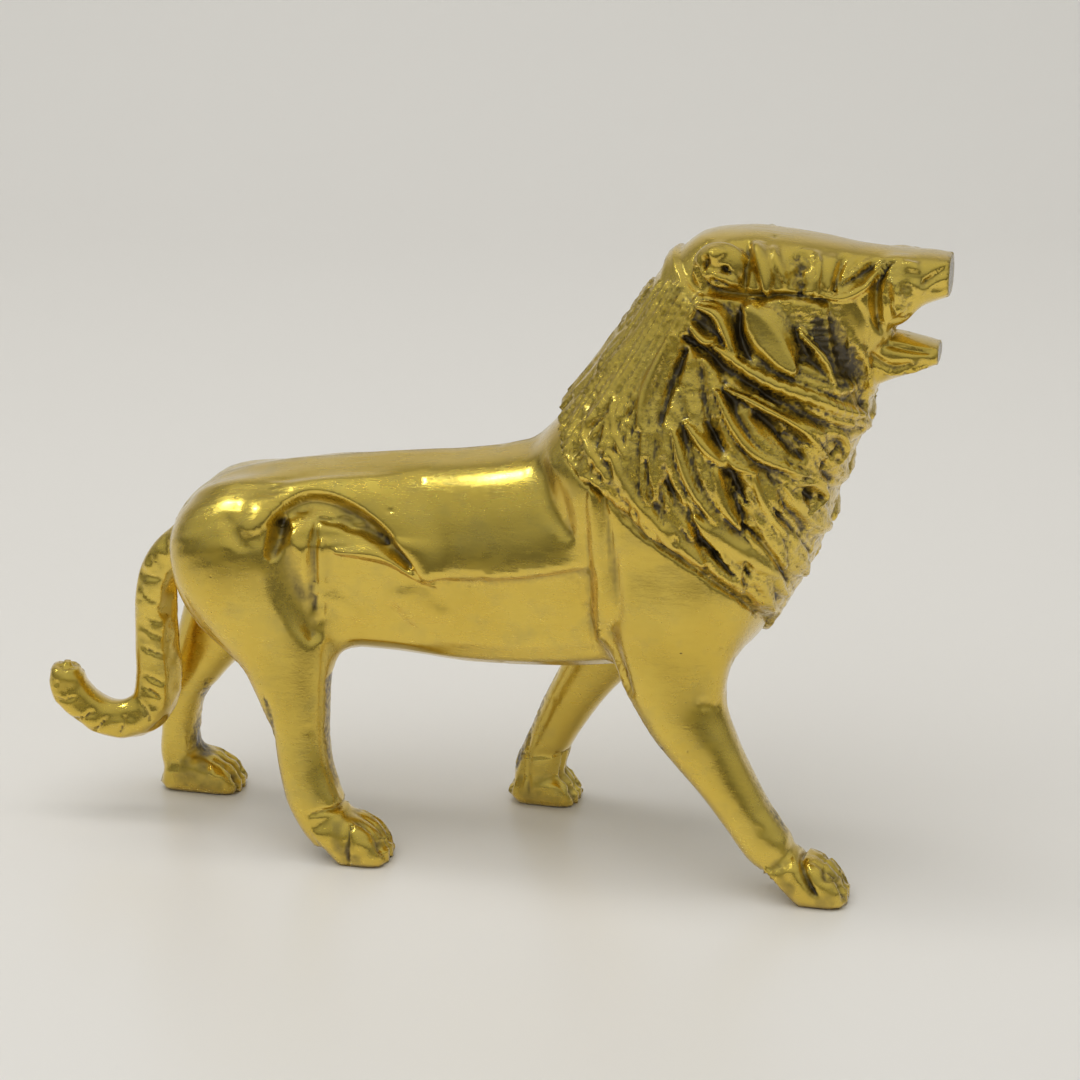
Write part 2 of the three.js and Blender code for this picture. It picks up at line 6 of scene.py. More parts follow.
import bpy
import numpy as np
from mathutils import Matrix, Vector


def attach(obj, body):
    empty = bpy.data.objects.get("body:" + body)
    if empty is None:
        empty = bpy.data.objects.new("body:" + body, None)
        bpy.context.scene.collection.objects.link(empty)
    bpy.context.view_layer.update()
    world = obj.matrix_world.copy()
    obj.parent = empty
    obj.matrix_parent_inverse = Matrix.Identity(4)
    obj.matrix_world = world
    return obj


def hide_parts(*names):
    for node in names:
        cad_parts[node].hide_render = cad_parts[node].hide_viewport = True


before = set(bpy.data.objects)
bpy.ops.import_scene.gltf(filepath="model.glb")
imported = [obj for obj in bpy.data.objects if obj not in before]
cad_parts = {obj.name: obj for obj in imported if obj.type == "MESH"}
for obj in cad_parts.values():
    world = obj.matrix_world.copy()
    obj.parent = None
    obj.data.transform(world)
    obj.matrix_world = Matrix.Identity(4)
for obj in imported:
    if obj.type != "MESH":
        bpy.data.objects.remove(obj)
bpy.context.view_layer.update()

# Places that fit the sculptor's millimetres to the frame.
NOSE_X = 66.6
TAIL_X = -86.4
MIDDLE_Y = 0.76
MM = 0.001
SHIFT = np.array([-(NOSE_X + TAIL_X) / 2, -MIDDLE_Y, 0.0])

# Body sizes

# The barrel of the body. Each row: x, height of the belly, height of the back, half width.
TORSO = np.array([
    [-63.5, 47, 52, 3.5],
    [-61, 45, 57, 8.4],
    [-56, 41.4, 60.9, 12.4],
    [-49.5, 37.5, 63.4, 14.6],
    [-42, 35, 64.9, 15.2],
    [-33, 34.2, 66.1, 13.8],
    [-24, 34, 67.1, 13.4],
    [-12, 33.2, 68.4, 14.4],
    [0, 33.4, 70.7, 15.4],
    [12, 34.4, 75, 15.6],
    [24, 36, 76, 13.6],
])
# Its section: height as a share of its depth, distance from the middle as a share of half width.
TORSO_SECTION = np.array([
    [0, 0],
    [0, 0.45],
    [0.05, 0.68],
    [0.14, 0.8],
    [0.45, 0.9],
    [0.48, 1.01],
    [0.56, 0.985],
    [0.66, 0.925],
    [0.78, 0.82],
    [0.88, 0.67],
    [0.95, 0.45],
    [1, 0],
])
# Neck, mane and chest in level sections. Each row: height, rear x, front x, half width.
NECK = np.array([
    [34, 15, 31, 10],
    [39, 11.5, 36.5, 15],
    [45, 9, 40.6, 17.4],
    [52, 5.5, 44.4, 18.4],
    [59, 2, 47.2, 18.8],
    [66, -0.5, 49.2, 18.6],
    [71.5, 1, 51, 18],
    [77, 5.6, 53.2, 16.8],
    [84, 11, 54, 15],
    [91, 15.6, 52.6, 13],
    [97, 19.4, 48.6, 11.4],
    [102, 22.8, 46, 9.6],
    [105.2, 26.8, 43, 6.4],
])
# Skull with upper jaw, and lower jaw, in upright sections. Each row: x, underside, top, half width.
SKULL = np.array([
    [22, 92, 102, 6],
    [27, 86, 106, 9.2],
    [34, 82, 107.2, 11.2],
    [40, 81, 106.8, 11.8],
    [46, 82.4, 106, 10.8],
    [52, 84.6, 105, 9],
    [56.2, 88, 104.6, 7.6],
    [58.4, 93.6, 104.4, 7.2],
    [63, 96, 104.4, 6.6],
    [66.6, 97.4, 104, 5.6],
])
LOWER_JAW = np.array([
    [46, 78, 88, 6.5],
    [52, 80.8, 90.6, 6.2],
    [57.5, 83.4, 91.2, 5.4],
    [62, 85, 90.4, 4.9],
    [65.2, 86.4, 89.6, 4],
])
# Exponents of the superellipses that the sections are.
NECK_ROUNDNESS = 2.5
HEAD_ROUNDNESS = 2.7
JAW_ROUNDNESS = 2.6
PAW_ROUNDNESS = 2.6
LEG_ROUNDNESS = 2.5
TAIL_ROUNDNESS = 2.9

# Legs. Each row: x, distance from the middle, z, half depth, half width.
HIND_LEG_RIGHT = np.array([
    [-49.5, 4.5, 58, 6, 4.5],
    [-48.4, 8.4, 52, 11.4, 6.9],
    [-45.5, 9.2, 44, 10.4, 7.7],
    [-41.5, 10.4, 35.5, 8.6, 6.4],
    [-39.6, 11.9, 28.3, 6.4, 5.3],
    [-38, 13.1, 21, 4.7, 4.6],
    [-37.1, 13.9, 15.5, 4.5, 4.4],
    [-35.6, 14.6, 10.5, 4.7, 4.4],
    [-33.4, 15, 6, 4.2, 4.3],
    [-32.4, 15, 3.4, 3.2, 4],
])
HIND_LEG_LEFT = np.array([
    [-50.5, 4.5, 57, 6, 4.5],
    [-51.6, 8.4, 49.5, 9.4, 7.4],
    [-54.4, 9.2, 41.5, 8.1, 6.7],
    [-58.6, 10, 33.5, 7.2, 5.4],
    [-62.8, 10.8, 26, 5.3, 4.6],
    [-66.3, 11.5, 19, 3.7, 4],
    [-67.7, 12, 13, 3.3, 3.9],
    [-68, 12.2, 7.5, 3.6, 4],
    [-67.8, 12.3, 3.6, 3.4, 3.9],
])
FRONT_LEG_RIGHT = np.array([
    [24.5, 8, 58, 8, 6],
    [24.2, 10, 50, 12.8, 7.8],
    [24.8, 11, 42.5, 11.4, 7.5],
    [25.3, 12.4, 35.8, 9.2, 6.4],
    [27.2, 13.4, 29.3, 7, 5.5],
    [30.6, 14.6, 23.8, 5.6, 4.9],
    [34.4, 15.4, 18.5, 4.6, 4.5],
    [38.1, 16.2, 13.3, 4, 4.3],
    [41.8, 16.7, 8.4, 3.9, 4.3],
    [44.6, 16.9, 5.6, 2.4, 3.4],
])
FRONT_LEG_LEFT = np.array([
    [22, 8, 57, 8, 6],
    [20.4, 10.4, 48, 11, 7.4],
    [15, 12.4, 39.5, 8.6, 6.5],
    [9.2, 14.8, 31, 6.3, 5.6],
    [4.7, 16.5, 24, 5, 5],
    [0.8, 17.7, 17.5, 4.4, 4.7],
    [-2.2, 18.5, 11.5, 3.9, 4.5],
    [-3.9, 18.9, 6.4, 4.3, 4.5],
    [-4.2, 19, 3.4, 3.9, 4.2],
])
# Tail. Each row: x, y, z, half depth, half width.
TAIL = np.array([
    [-56, 0, 50.9, 3, 3.4],
    [-61.8, 0, 49.2, 3.2, 3.6],
    [-65.9, 0, 45, 3.1, 3.6],
    [-67.6, 0, 39.2, 3.1, 3.6],
    [-67.7, 0, 32, 3.2, 3.7],
    [-67.4, -0.4, 25, 3.4, 3.8],
    [-68.4, -0.9, 19.8, 3.5, 3.8],
    [-71.9, -1.5, 17.2, 3.4, 3.7],
    [-76, -2, 17, 3.2, 3.7],
    [-79.5, -2.5, 18.8, 3.1, 3.6],
    [-82.4, -2.9, 21.8, 3.2, 3.5],
    [-83.2, -3.1, 24.6, 3, 3.2],
    [-83.1, -3.1, 26.3, 2.2, 2.4],
    [-83, -3.1, 27.2, 0.6, 0.7],
])
TAIL_TWIST = math.radians(16)

# Paws: side, heel x, toe x, distance from the middle, height of the instep, half width,
# height of the underside at the heel, share of the length where it touches the ground.
PAWS = [
    (-1, -36, -22.6, 15, 8.3, 5.4, 6.4, 0.44),
    (1, -71.6, -56.8, 12.4, 7.2, 5, 0.6, 0.1),
    (-1, 40.8, 54.8, 17, 8, 5.4, 6.2, 0.48),
    (1, -9.2, 3, 19, 6.6, 5.1, 1.2, 0.2),
]
# A paw from heel to toes: share of its length, share of the instep, share of the half width.
PAW_PROFILE = np.array([
    [0, 0.25, 0.5],
    [0.12, 0.72, 0.84],
    [0.35, 1, 0.95],
    [0.6, 0.94, 1],
    [0.8, 0.74, 0.98],
    [0.93, 0.5, 0.84],
    [1, 0.28, 0.6],
])
TOES = 4
TOE_SPREAD = 0.94  # width over the toes, as a share of the paw's
HEEL_THICKNESS = 1.2
LIFT_CURVE = 1.2
SOLE_SINK = 0.16  # how far the sole is sunk before it is cut flat, as a share of the height
EAR_HEIGHT = 102.0
EAR_DROP = 1.6  # how much lower the left ear sits
# Rounded lumps: x, distance from the middle, height; half sizes; tilt.
HAUNCH = ((-49.0, 7.2, 47.6), (12.4, 8.6, 13.5), -0.2)
EAR = ((31.2, 9.8, EAR_HEIGHT), (4.6, 2.6, 4.2), 0.3)
FLEW = ((58.0, 4.6, 98.4), (4.4, 2.7, 5.6), 0.2)
SIDES = (-1, 1)  # right, left

FAR = 40.0  # stands for "nowhere near" in a distance field
TINY = 1e-6


# Tools for curves, noise and distance fields

def smooth_rows(table, steps=6):
    """Rows of a table with a Catmull-Rom curve through them."""
    table = np.asarray(table, float)
    padded = np.vstack([2 * table[0] - table[1], table, 2 * table[-1] - table[-2]])
    rows = []
    for i in range(len(table) - 1):
        before, a, b, after = padded[i:i + 4]
        for f in np.arange(steps) / steps:
            m0 = (b - before) / 2
            m1 = (after - a) / 2
            cubic = (2 * a - 2 * b + m0 + m1) * f**3
            square = (-3 * a + 3 * b - 2 * m0 - m1) * f**2
            rows.append(cubic + square + m0 * f + a)
    rows.append(table[-1])
    return np.array(rows)


def lookup(rows, at):
    """The other columns of a table where its first column is `at`."""
    return [np.interp(at, rows[:, 0], rows[:, k]) for k in range(1, rows.shape[1])]


def ease(value, low, high):
    """0 below low, 1 above high, and a smooth step between."""
    t = np.clip((value - low) / (high - low), 0, 1)
    return t * t * (3 - 2 * t)


def lattice(i, j, k, seed):
    """A fixed value from -1 to 1 for each corner of a lattice."""
    n = i * 73856093 ^ j * 19349663 ^ k * 83492791 ^ (seed * 668265263 + 374761393)
    n = (n ^ (n >> 13)) * 1274126177
    return ((n ^ (n >> 16)) & 0xFFFF) / 32767.5 - 1.0


def noise(points, size, seed=0):
    """Smooth noise from -1 to 1 whose lumps are `size` across."""
    scaled = points / size
    corner = np.floor(scaled).astype(np.int64)
    part = scaled - corner
    part = part * part * (3 - 2 * part)
    total = np.zeros(len(points))
    for step in np.ndindex(2, 2, 2):
        weight = np.ones(len(points))
        for axis in range(3):
            weight *= part[:, axis] if step[axis] else 1 - part[:, axis]
        i, j, k = (corner + step).T
        total += weight * lattice(i, j, k, seed)
    return total


def blend_in(a, b, width):
    """Union of two distance fields with a fillet."""
    h = np.clip(0.5 + 0.5 * (b - a) / width, 0, 1)
    return b * (1 - h) + a * h - width * h * (1 - h)


def superellipse_gap(a, b, roundness, reach):
    """Distance to a superellipse, from its two normalised places and the true distance `reach`."""
    r = (np.abs(a)**roundness + np.abs(b)**roundness) ** (1 / roundness) + TINY
    return (reach + TINY) * (1 - 1 / r)


def capped(gap, past):
    """A field that ends flat: `past` is how far the point lies beyond the end."""
    outside = np.hypot(np.maximum(gap, 0), np.maximum(past, 0))
    return np.where(past > 0, outside, np.maximum(gap, past))


def past_ends(at, rows):
    """How far a place lies beyond the ends of a table, less than nothing between them."""
    return np.maximum(rows[0, 0] - at, at - rows[-1, 0])


def only_near(field):
    """Runs a field only for the points near its box, and says FAR elsewhere."""
    def wrapped(points, low, high, *rest):
        near = np.all((points > np.array(low) - 6) & (points < np.array(high) + 6), axis=1)
        result = np.full(len(points), FAR)
        if near.any():
            result[near] = field(points[near], *rest)
        return result
    return wrapped


# The smooth body

def limb_place(points, rows, twist):
    """Nearest station of a limb: its share of the way, and the place across, wide and past it."""
    centre = rows[:, :3]
    gap = ((points[:, None, :] - centre[None]) ** 2).sum(2)
    i = gap.argmin(1)
    step = np.gradient(centre, axis=0)
    length = np.linalg.norm(step, axis=1)
    along = step / length[:, None]
    offset = ((points - centre[i]) * along[i]).sum(1)
    shift = np.clip(offset / length[i], -0.6, 0.6)
    place = np.clip(i + shift, 0, len(rows) - 1)
    lower = np.minimum(place.astype(int), len(rows) - 2)
    part = (place - lower)[:, None]
    row = rows[lower] * (1 - part) + rows[lower + 1] * part
    tangent = along[lower] * (1 - part) + along[lower + 1] * part
    tangent /= np.linalg.norm(tangent, axis=1)[:, None]
    delta = points - row[:, :3]
    level = np.cross(np.array([0.0, 1.0, 0.0]), tangent)
    level /= np.linalg.norm(level, axis=1)[:, None]
    side = np.cross(tangent, level)
    first = (delta * level).sum(1)
    second = (delta * side).sum(1)
    across = first * math.cos(twist) + second * math.sin(twist)
    wide = second * math.cos(twist) - first * math.sin(twist)
    past = np.where(i == 0, -offset, np.where(i == len(rows) - 1, offset, -FAR))
    return place, row, across, wide, past


def limb_gap(points, rows, roundness, twist):
    _, row, across, wide, past = limb_place(points, rows, twist)
    reach = np.hypot(across, wide)
    gap = superellipse_gap(across / row[:, 3], wide / row[:, 4], roundness, reach)
    return capped(gap, past)


def make_limb(table, side, roundness, twist=0.0):
    rows = smooth_rows(table * np.array([1, side, 1, 1, 1]), 5)
    margin = np.maximum(rows[:, 3], rows[:, 4]).max()
    low = rows[:, :3].min(0) - margin
    high = rows[:, :3].max(0) + margin
    near = only_near(lambda points: limb_gap(points, rows, roundness, twist))
    return lambda points: near(points, low, high)


def torso_gap(points):
    x, y, z = points.T
    inside_x = np.clip(x, TORSO[0, 0], TORSO[-1, 0])
    low, high, half = lookup(TORSO_ROWS, inside_x)
    up = (z - (low + high) / 2) / ((high - low) / 2)
    out = np.abs(y) / half
    angle = np.arctan2(up, out)
    creased = ease(x, *CREASE_START)
    edge = creased * np.interp(angle, *CREASED) + (1 - creased) * np.interp(angle, *UNCREASED)
    ratio = np.hypot(up, out) / edge + TINY
    gap = (np.hypot(y, z - (low + high) / 2) + TINY) * (1 - 1 / ratio)
    return capped(gap, past_ends(x, TORSO_ROWS))


def neck_at(z):
    rear, front, half = lookup(NECK_ROWS, z)
    return (rear + front) / 2, (front - rear) / 2, half


def neck_gap(points):
    x, y, z = points.T
    inside_z = np.clip(z, NECK[0, 0], NECK[-1, 0])
    middle, long, wide = neck_at(inside_z)
    reach = np.hypot(x - middle, y)
    gap = superellipse_gap((x - middle) / long, y / wide, NECK_ROUNDNESS, reach)
    return capped(gap, past_ends(z, NECK_ROWS))


def upright_gap(points, rows, roundness):
    x, y, z = points.T
    inside_x = np.clip(x, rows[0, 0], rows[-1, 0])
    low, high, half = lookup(rows, inside_x)
    middle = (low + high) / 2
    reach = np.hypot(y, z - middle)
    gap = superellipse_gap(y / half, (z - middle) / ((high - low) / 2), roundness, reach)
    return capped(gap, past_ends(x, rows))


def paw_gap(points, side, heel, toes, out, instep, half, lift, touch):
    x, y, z = points.T
    share = (x - heel) / (toes - heel)
    inside = np.clip(share, 0, 1)
    tall, wide = lookup(PAW_ROWS, inside)
    raised = np.clip(1 - inside / touch, 0, 1)
    top = np.maximum(instep * tall, lift * raised + HEEL_THICKNESS)
    low = lift * raised**LIFT_CURVE - SOLE_SINK * instep * tall * (1 - raised)
    centre = (top + low) / 2
    up = (z - centre) / ((top - low) / 2)
    over = (y - side * out) / (half * wide)
    reach = np.hypot(y - side * out, z - centre)
    gap = superellipse_gap(over, up, PAW_ROUNDNESS, reach)
    return capped(gap, past_ends(share, PAW_ROWS) * (toes - heel))


def lump_gap(points, lump, side, drop=0.0):
    """Distance to an ellipsoid on one side of the body, tilted about Y."""
    (x, out, height), radii, tilt = lump
    delta = points - np.array([x, side * out, height - drop])
    c, s = math.cos(tilt), math.sin(tilt)
    local = np.stack([c * delta[:, 0] - s * delta[:, 2], delta[:, 1],
                      s * delta[:, 0] + c * delta[:, 2]], 1)
    k0 = np.linalg.norm(local / radii, axis=1)
    k1 = np.linalg.norm(local / np.square(radii), axis=1)
    return k0 * (k0 - 1) / np.maximum(k1, TINY)


TORSO_ROWS = smooth_rows(TORSO)
NECK_ROWS = smooth_rows(NECK)
SKULL_ROWS = smooth_rows(SKULL)
JAW_ROWS = smooth_rows(LOWER_JAW)
PAW_ROWS = smooth_rows(PAW_PROFILE)
CREASE_START = (-22, -13)  # where along the body the edge over the lower flank begins
BULGE_FROM = 5  # the section is flat-sided below this row, and a round bulge above it


def section_outline(section, flat_rows):
    """Angle and radius round a section whose first rows are joined by straight edges."""
    flat = np.vstack([
        np.linspace(section[i], section[i + 1], 8, endpoint=False) for i in range(flat_rows)
    ])
    outline = np.vstack([flat, smooth_rows(section[flat_rows:], 8)])
    up = 2 * outline[:, 0] - 1
    return np.arctan2(up, outline[:, 1]), np.hypot(up, outline[:, 1])


CREASED = section_outline(TORSO_SECTION, BULGE_FROM)
UNCREASED = section_outline(np.delete(TORSO_SECTION, [4, 5], axis=0), 2)

LEGS = [
    make_limb(HIND_LEG_RIGHT, -1, LEG_ROUNDNESS),
    make_limb(HIND_LEG_LEFT, 1, LEG_ROUNDNESS),
    make_limb(FRONT_LEG_RIGHT, -1, LEG_ROUNDNESS),
    make_limb(FRONT_LEG_LEFT, 1, LEG_ROUNDNESS),
]
# Width of the fillet where each part grows out of the body.
LEG_FILLETS = (5.0, 5.0, 3.0, 3.0)  # hind legs, then front legs
HAUNCH_FILLET = 3.0
NECK_FILLET = 2.5
FLEW_FILLET = 1.5
SMALL_FILLET = 1.2
JAW_FILLET = 1.0
EAR_FILLET = 0.8
TAIL_LIMB = make_limb(TAIL, 1, TAIL_ROUNDNESS, TAIL_TWIST)
TAIL_ROWS = smooth_rows(TAIL, 5)


def head_gap(points):
    skull = upright_gap(points, SKULL_ROWS, HEAD_ROUNDNESS)
    jaw = upright_gap(points, JAW_ROWS, JAW_ROUNDNESS)
    gap = blend_in(skull, jaw, JAW_FILLET)
    for side in SIDES:
        drop = EAR_DROP if side > 0 else 0.0
        gap = blend_in(gap, lump_gap(points, EAR, side, drop), EAR_FILLET)
        gap = blend_in(gap, lump_gap(points, FLEW, side), FLEW_FILLET)
    return gap


def body_gap(points):
    """Distance to the lion's smooth form, before any carving."""
    gap = only_near(torso_gap)(points, (-64, -16, 32), (26, 16, 78))
    for side in SIDES:
        haunch = only_near(lump_gap)(
            points, (-62, side * 8 - 9, 33), (-36, side * 8 + 9, 63), HAUNCH, side)
        gap = blend_in(gap, haunch, HAUNCH_FILLET)
    neck = only_near(neck_gap)(points, (-1, -19, 34), (55, 19, 106))
    gap = blend_in(gap, neck, NECK_FILLET)
    for leg, fillet in zip(LEGS, LEG_FILLETS):
        gap = blend_in(gap, leg(points), fillet)
    for size in PAWS:
        side, heel, toes, out, instep, half, *lifted = size
        box = ((heel, side * out - half, 0), (toes, side * out + half, instep))
        paw = only_near(paw_gap)(points, *box, *size)
        gap = blend_in(gap, paw, SMALL_FILLET)
    gap = blend_in(gap, TAIL_LIMB(points), SMALL_FILLET)
    head = only_near(head_gap)(points, (22, -13, 78), (67, 13, 107))
    return blend_in(gap, head, SMALL_FILLET)


# Carving: strokes drawn on the side view

def trace(points, steps=5):
    return smooth_rows(np.array(points, float), steps)


def near_path(u, w, path):
    """Distance from each place to a path, the share of the way along it, and the side it is on."""
    start, end = path[:-1], path[1:]
    step = end - start
    length = (step**2).sum(1)
    du = u[:, None] - start[None, :, 0]
    dw = w[:, None] - start[None, :, 1]
    t = np.clip((du * step[:, 0] + dw * step[:, 1]) / length, 0, 1)
    gap = (du - t * step[:, 0])**2 + (dw - t * step[:, 1])**2
    i = gap.argmin(1)
    pick = np.arange(len(u)), i
    turn = step[i, 0] * dw[pick] - step[i, 1] * du[pick]
    return np.sqrt(gap[pick]), (i + t[pick]) / len(step), np.sign(turn)


def taper(share):
    """Half width of a stroke along its way, pointed at both ends."""
    return np.sin(math.pi * (0.1 + 0.82 * share)) ** 0.7


def hump(t, power):
    """1 in the middle of a stroke and 0 at its edges."""
    return np.clip(1 - t * t, 0, 1) ** power


def ridge_shape(t, share):
    return hump(t, 1.2)


def soft_shape(t, share):
    return hump(t, 2)


def fold_shape(t, share):
    """Soft above, steep below."""
    return np.where(t > 0, hump(t, 2), hump(t / 0.68, 1.4))


def rollover_shape(t, share):
    """Rises slowly from above and drops very steeply below."""
    return np.where(t > 0, hump(t, 2), hump(t / 0.34, 1.4))


def recess_shape(t, share):
    """Steep above, and running out slowly below."""
    return np.where(t > 0, hump(t / 0.72, 1.4), hump(t, 2))


def groove_shape(t, share):
    return np.clip(1 - np.abs(t), 0, 1) ** 0.9


def flame_shape(t, share):
    """A plump lock with two chased lines and a lifted point."""
    plump = hump(t, 0.75)
    lines = 0.2 * np.clip(1 - np.abs(np.abs(t + 0.1) - 0.42) / 0.14, 0, 1)
    return np.clip(plump - lines, 0, 1) * (0.5 + 0.5 * share)


def carve(u, w, strokes, shape):
    """Greatest height of a set of strokes. Each: path, half width, height."""
    result = np.zeros(len(u))
    for path, half, height in strokes:
        low = path.min(0) - half
        high = path.max(0) + half
        near = (u > low[0]) & (u < high[0]) & (w > low[1]) & (w < high[1])
        if not near.any():
            continue
        gap, share, turn = near_path(u[near], w[near], path)
        t = np.clip(gap / (half * taper(share)), 0, 1) * turn
        result[near] = np.maximum(result[near], height * shape(t, share))
    return result


def traced(forms):
    return [(shape, trace(path), half, rise) for shape, path, half, rise in forms]


def carve_forms(u, w, forms):
    """Sum of raised and hollow forms. Each: shape, path, half width, height."""
    height = np.zeros(len(u))
    for shape, path, half, rise in forms:
        height += np.sign(rise) * carve(u, w, [(path, half, abs(rise))], shape)
    return height


# The mane

WRAP = 0.85  # how fast the mane rolls out past the side view, towards the throat and the nape
FAN_X = 27.0
FAN_Z = 97.5
# How far the mane reaches from the fan's point: degrees forward of straight down, distance.
HEM = np.array([[-70, 30], [-52, 31], [-26, 35], [0, 42], [15, 54], [34, 50], [60, 44]], float)
FAN_REACH = 34.0  # distance from the fan's point at which strands have the width below
STRAND = 2.2
NAPE_STRANDS = 12
MANE_RISE = 0.9
STRAND_RISE = 0.42
FACET_RISE = 0.28
STIPPLE_RISE = 0.16
DEEPEST_CUT = 1.5
# Tiers of locks: share of the reach at the root, number of locks, share of the reach in length,
# half width, rise.
TIERS = [
    (0.18, 8, 0.32, 2, 1.6),
    (0.36, 10, 0.32, 2.6, 2.1),
    (0.53, 12, 0.31, 3, 2.2),
    (0.71, 13, 0.3, 3.1, 1.9),
]
LOCK_CURL = 0.24

# Strokes measured on the side view: places as seen from the side, half width, height or depth.
MANE_RIDGES = [
    ([(25, 92), (22.9, 87), (21, 82), (20.4, 77.5)], 1.7, 2.5),
    ([(31.5, 90.6), (38.7, 86.4), (45.1, 83.4), (50.2, 80.6), (53.6, 78.8)], 1.9, 3),
    ([(36.6, 96.4), (39, 93), (42.8, 87.6)], 4, 3.4),
    ([(28.4, 96.6), (31.2, 95.6), (33, 92.6), (34.6, 88.8)], 1.6, 2.6),
    ([(27.4, 93.6), (29.6, 91.4), (31.4, 91.6)], 1.3, 2.2),
    ([(43.4, 93.4), (46.8, 88.6), (48.8, 84)], 1.2, 2.6),
    ([(50, 92.6), (51.6, 87), (53.2, 82)], 0.8, 0.8),
    ([(32, 84), (35.1, 78.4), (38.9, 73.9), (44.9, 70.6)], 1.4, 3),
    ([(33.5, 84.4), (39, 82), (44.4, 77.8), (47.8, 73.2)], 1.3, 2.8),
    ([(27.5, 79), (31.5, 74.6), (37.7, 71.6)], 1.8, 2.6),
    ([(25.5, 78), (28, 70.5), (31.9, 64.2)], 1.7, 2.6),
    ([(32.4, 72), (33.2, 67), (35.6, 62.6)], 1.7, 2.5),
    ([(37.5, 71), (38.6, 66), (42, 60.5)], 1.6, 2.5),
    ([(43, 69.5), (46.2, 68.8), (47.6, 66), (45, 63.5)], 1.2, 2.6),
    ([(20, 66), (24.5, 61.8), (30.4, 56.6)], 3, 2.2),
    ([(29, 64), (34.5, 59.6), (40.8, 53.6)], 3.2, 2.3),
    ([(36.5, 61.5), (40, 56.5), (41.6, 49.5)], 2.4, 2.1),
    ([(16, 74), (18, 69), (21.5, 64)], 2.2, 2.2),
    ([(48.6, 78.4), (50.6, 75.4), (50, 72), (47.6, 71)], 1.1, 2.2),
    ([(44.6, 75.6), (48.2, 72.6), (50.2, 69)], 1.1, 2),
    ([(41.4, 69.4), (44.2, 64.6), (47.4, 60)], 1.2, 2.2),
    ([(11.8, 80), (12.8, 74.6), (15.6, 69.4)], 1.9, 2),
    ([(6.6, 75), (10.4, 71), (14.8, 67.8)], 1.9, 1.7),
    ([(17, 82), (16.8, 77), (18.4, 72.6)], 1.7, 2),
]
MANE_GROOVES = [
    ([(26.3, 91.6), (31.6, 88), (38, 84.2), (45.2, 80.2), (50.4, 77.6), (53.4, 76.4)], 1.2, 1.5),
    ([(26.8, 89.5), (24.8, 84.5), (23.4, 78.5)], 1.2, 1.5),
    ([(47, 95.6), (50.2, 90.2), (52.4, 85), (53.4, 79.4)], 3.2, 2.2),
    ([(34.8, 96), (35, 92), (37.2, 88)], 0.9, 1.2),
    ([(38, 80.4), (42, 77.4), (44.4, 73.6)], 2.4, 1.7),
    ([(24.6, 69.6), (27.2, 65.6), (29.8, 61.8)], 1.3, 1.5),
    ([(30.4, 79), (33.8, 73.2), (36.4, 66.4)], 0.9, 1.3),
    ([(44.4, 67.8), (46, 66.2)], 1.3, 1.9),
    ([(28.4, 62.6), (31.6, 58.8), (34.4, 54.6)], 0.9, 1.3),
    ([(35.6, 63.4), (39.6, 58), (42.4, 52)], 0.9, 1.4),
    ([(49.6, 74.4), (47.2, 71.6), (48.6, 68.4)], 0.9, 1.2),
    ([(40.6, 64.8), (43.8, 60.6), (45.4, 56.2)], 0.8, 1.1),
    ([(21.2, 72.8), (22.2, 67.4), (24.6, 62.6)], 0.8, 1.1),
]
PUNCH_MARKS = [
    ([(32, 58.8), (32.4, 57.6)], 0.7, 1.3),
    ([(36, 57), (36.8, 54.6)], 0.8, 1.1),
    ([(26, 61), (26.9, 59.4)], 0.6, 0.9),
]
TWIST_LINES = [
    ([(31.5, 90.6), (38.7, 86.4), (45.1, 83.4), (50.2, 80.6), (53.6, 78.8)], 2, 0.6),
]
TWISTS = 15
NAPE_WIDTH = 10.0  # how far the nape's long strands reach forward
HEM_LINE = [
    (-4, 84), (4.8, 76.8), (7.3, 72.8), (10.5, 68.9), (13.8, 67), (21.6, 60.4),
    (27.6, 56.8), (31.5, 54.2), (36.5, 49.8), (40, 44), (44, 34),
]
# The line from the nape past the ear to the jaw, above which the face is smooth.
FACE_LINE = [
    (20, 108), (26, 99.4), (30.5, 98), (37, 97.9), (43, 98.2), (48.3, 96.6),
    (52.5, 91.5), (55, 87), (56, 78),
]


def roll_out(x, z, y):
    """A place on the mane as seen from the side, with the throat and nape rolled out flat."""
    middle, long, wide = neck_at(z)
    inward = np.maximum(wide - np.abs(y), 0)
    ahead = np.clip(2 * (x - middle) / long, -1, 1)
    return x + WRAP * inward * ahead


def rolled_path(points):
    """A path measured on the side view, moved to the rolled-out mane."""
    path = trace(points)
    x, z = path.T
    middle, long, wide = neck_at(z)
    share = np.clip(np.abs(x - middle) / long, 0, 0.97)
    y = wide * (1 - share**NECK_ROUNDNESS) ** (1 / NECK_ROUNDNESS)
    return np.stack([roll_out(x, z, y), z], 1)


def tier_locks():
    """Flame-shaped locks that fan out from behind the ear, tier below tier."""
    locks = []
    first, last = HEM[0, 0], HEM[-1, 0]
    for row, (root, count, length, half, rise) in enumerate(TIERS):
        for i in range(count):
            jitter = lattice(i, row, 3, 11)
            share = (i + 0.5 * (row % 2) + 0.25 + 0.18 * jitter) / count
            degrees = first + (last - first) * share
            reach = np.interp(degrees, HEM[:, 0], HEM[:, 1])
            turn = math.radians(degrees)
            long = length * reach * (1 + 0.15 * lattice(i, row, 5, 7))
            curl = LOCK_CURL * (1 + 0.5 * lattice(i, row, 9, 5))
            path = []
            for s in (0.0, 0.35, 0.7, 1.0):
                away = root * reach + long * s
                aside = curl * long * s * s
                path.append((
                    FAN_X + away * math.sin(turn) + aside * math.cos(turn),
                    FAN_Z - away * math.cos(turn) + aside * math.sin(turn),
                ))
            locks.append((trace(path), half, rise))
    return locks


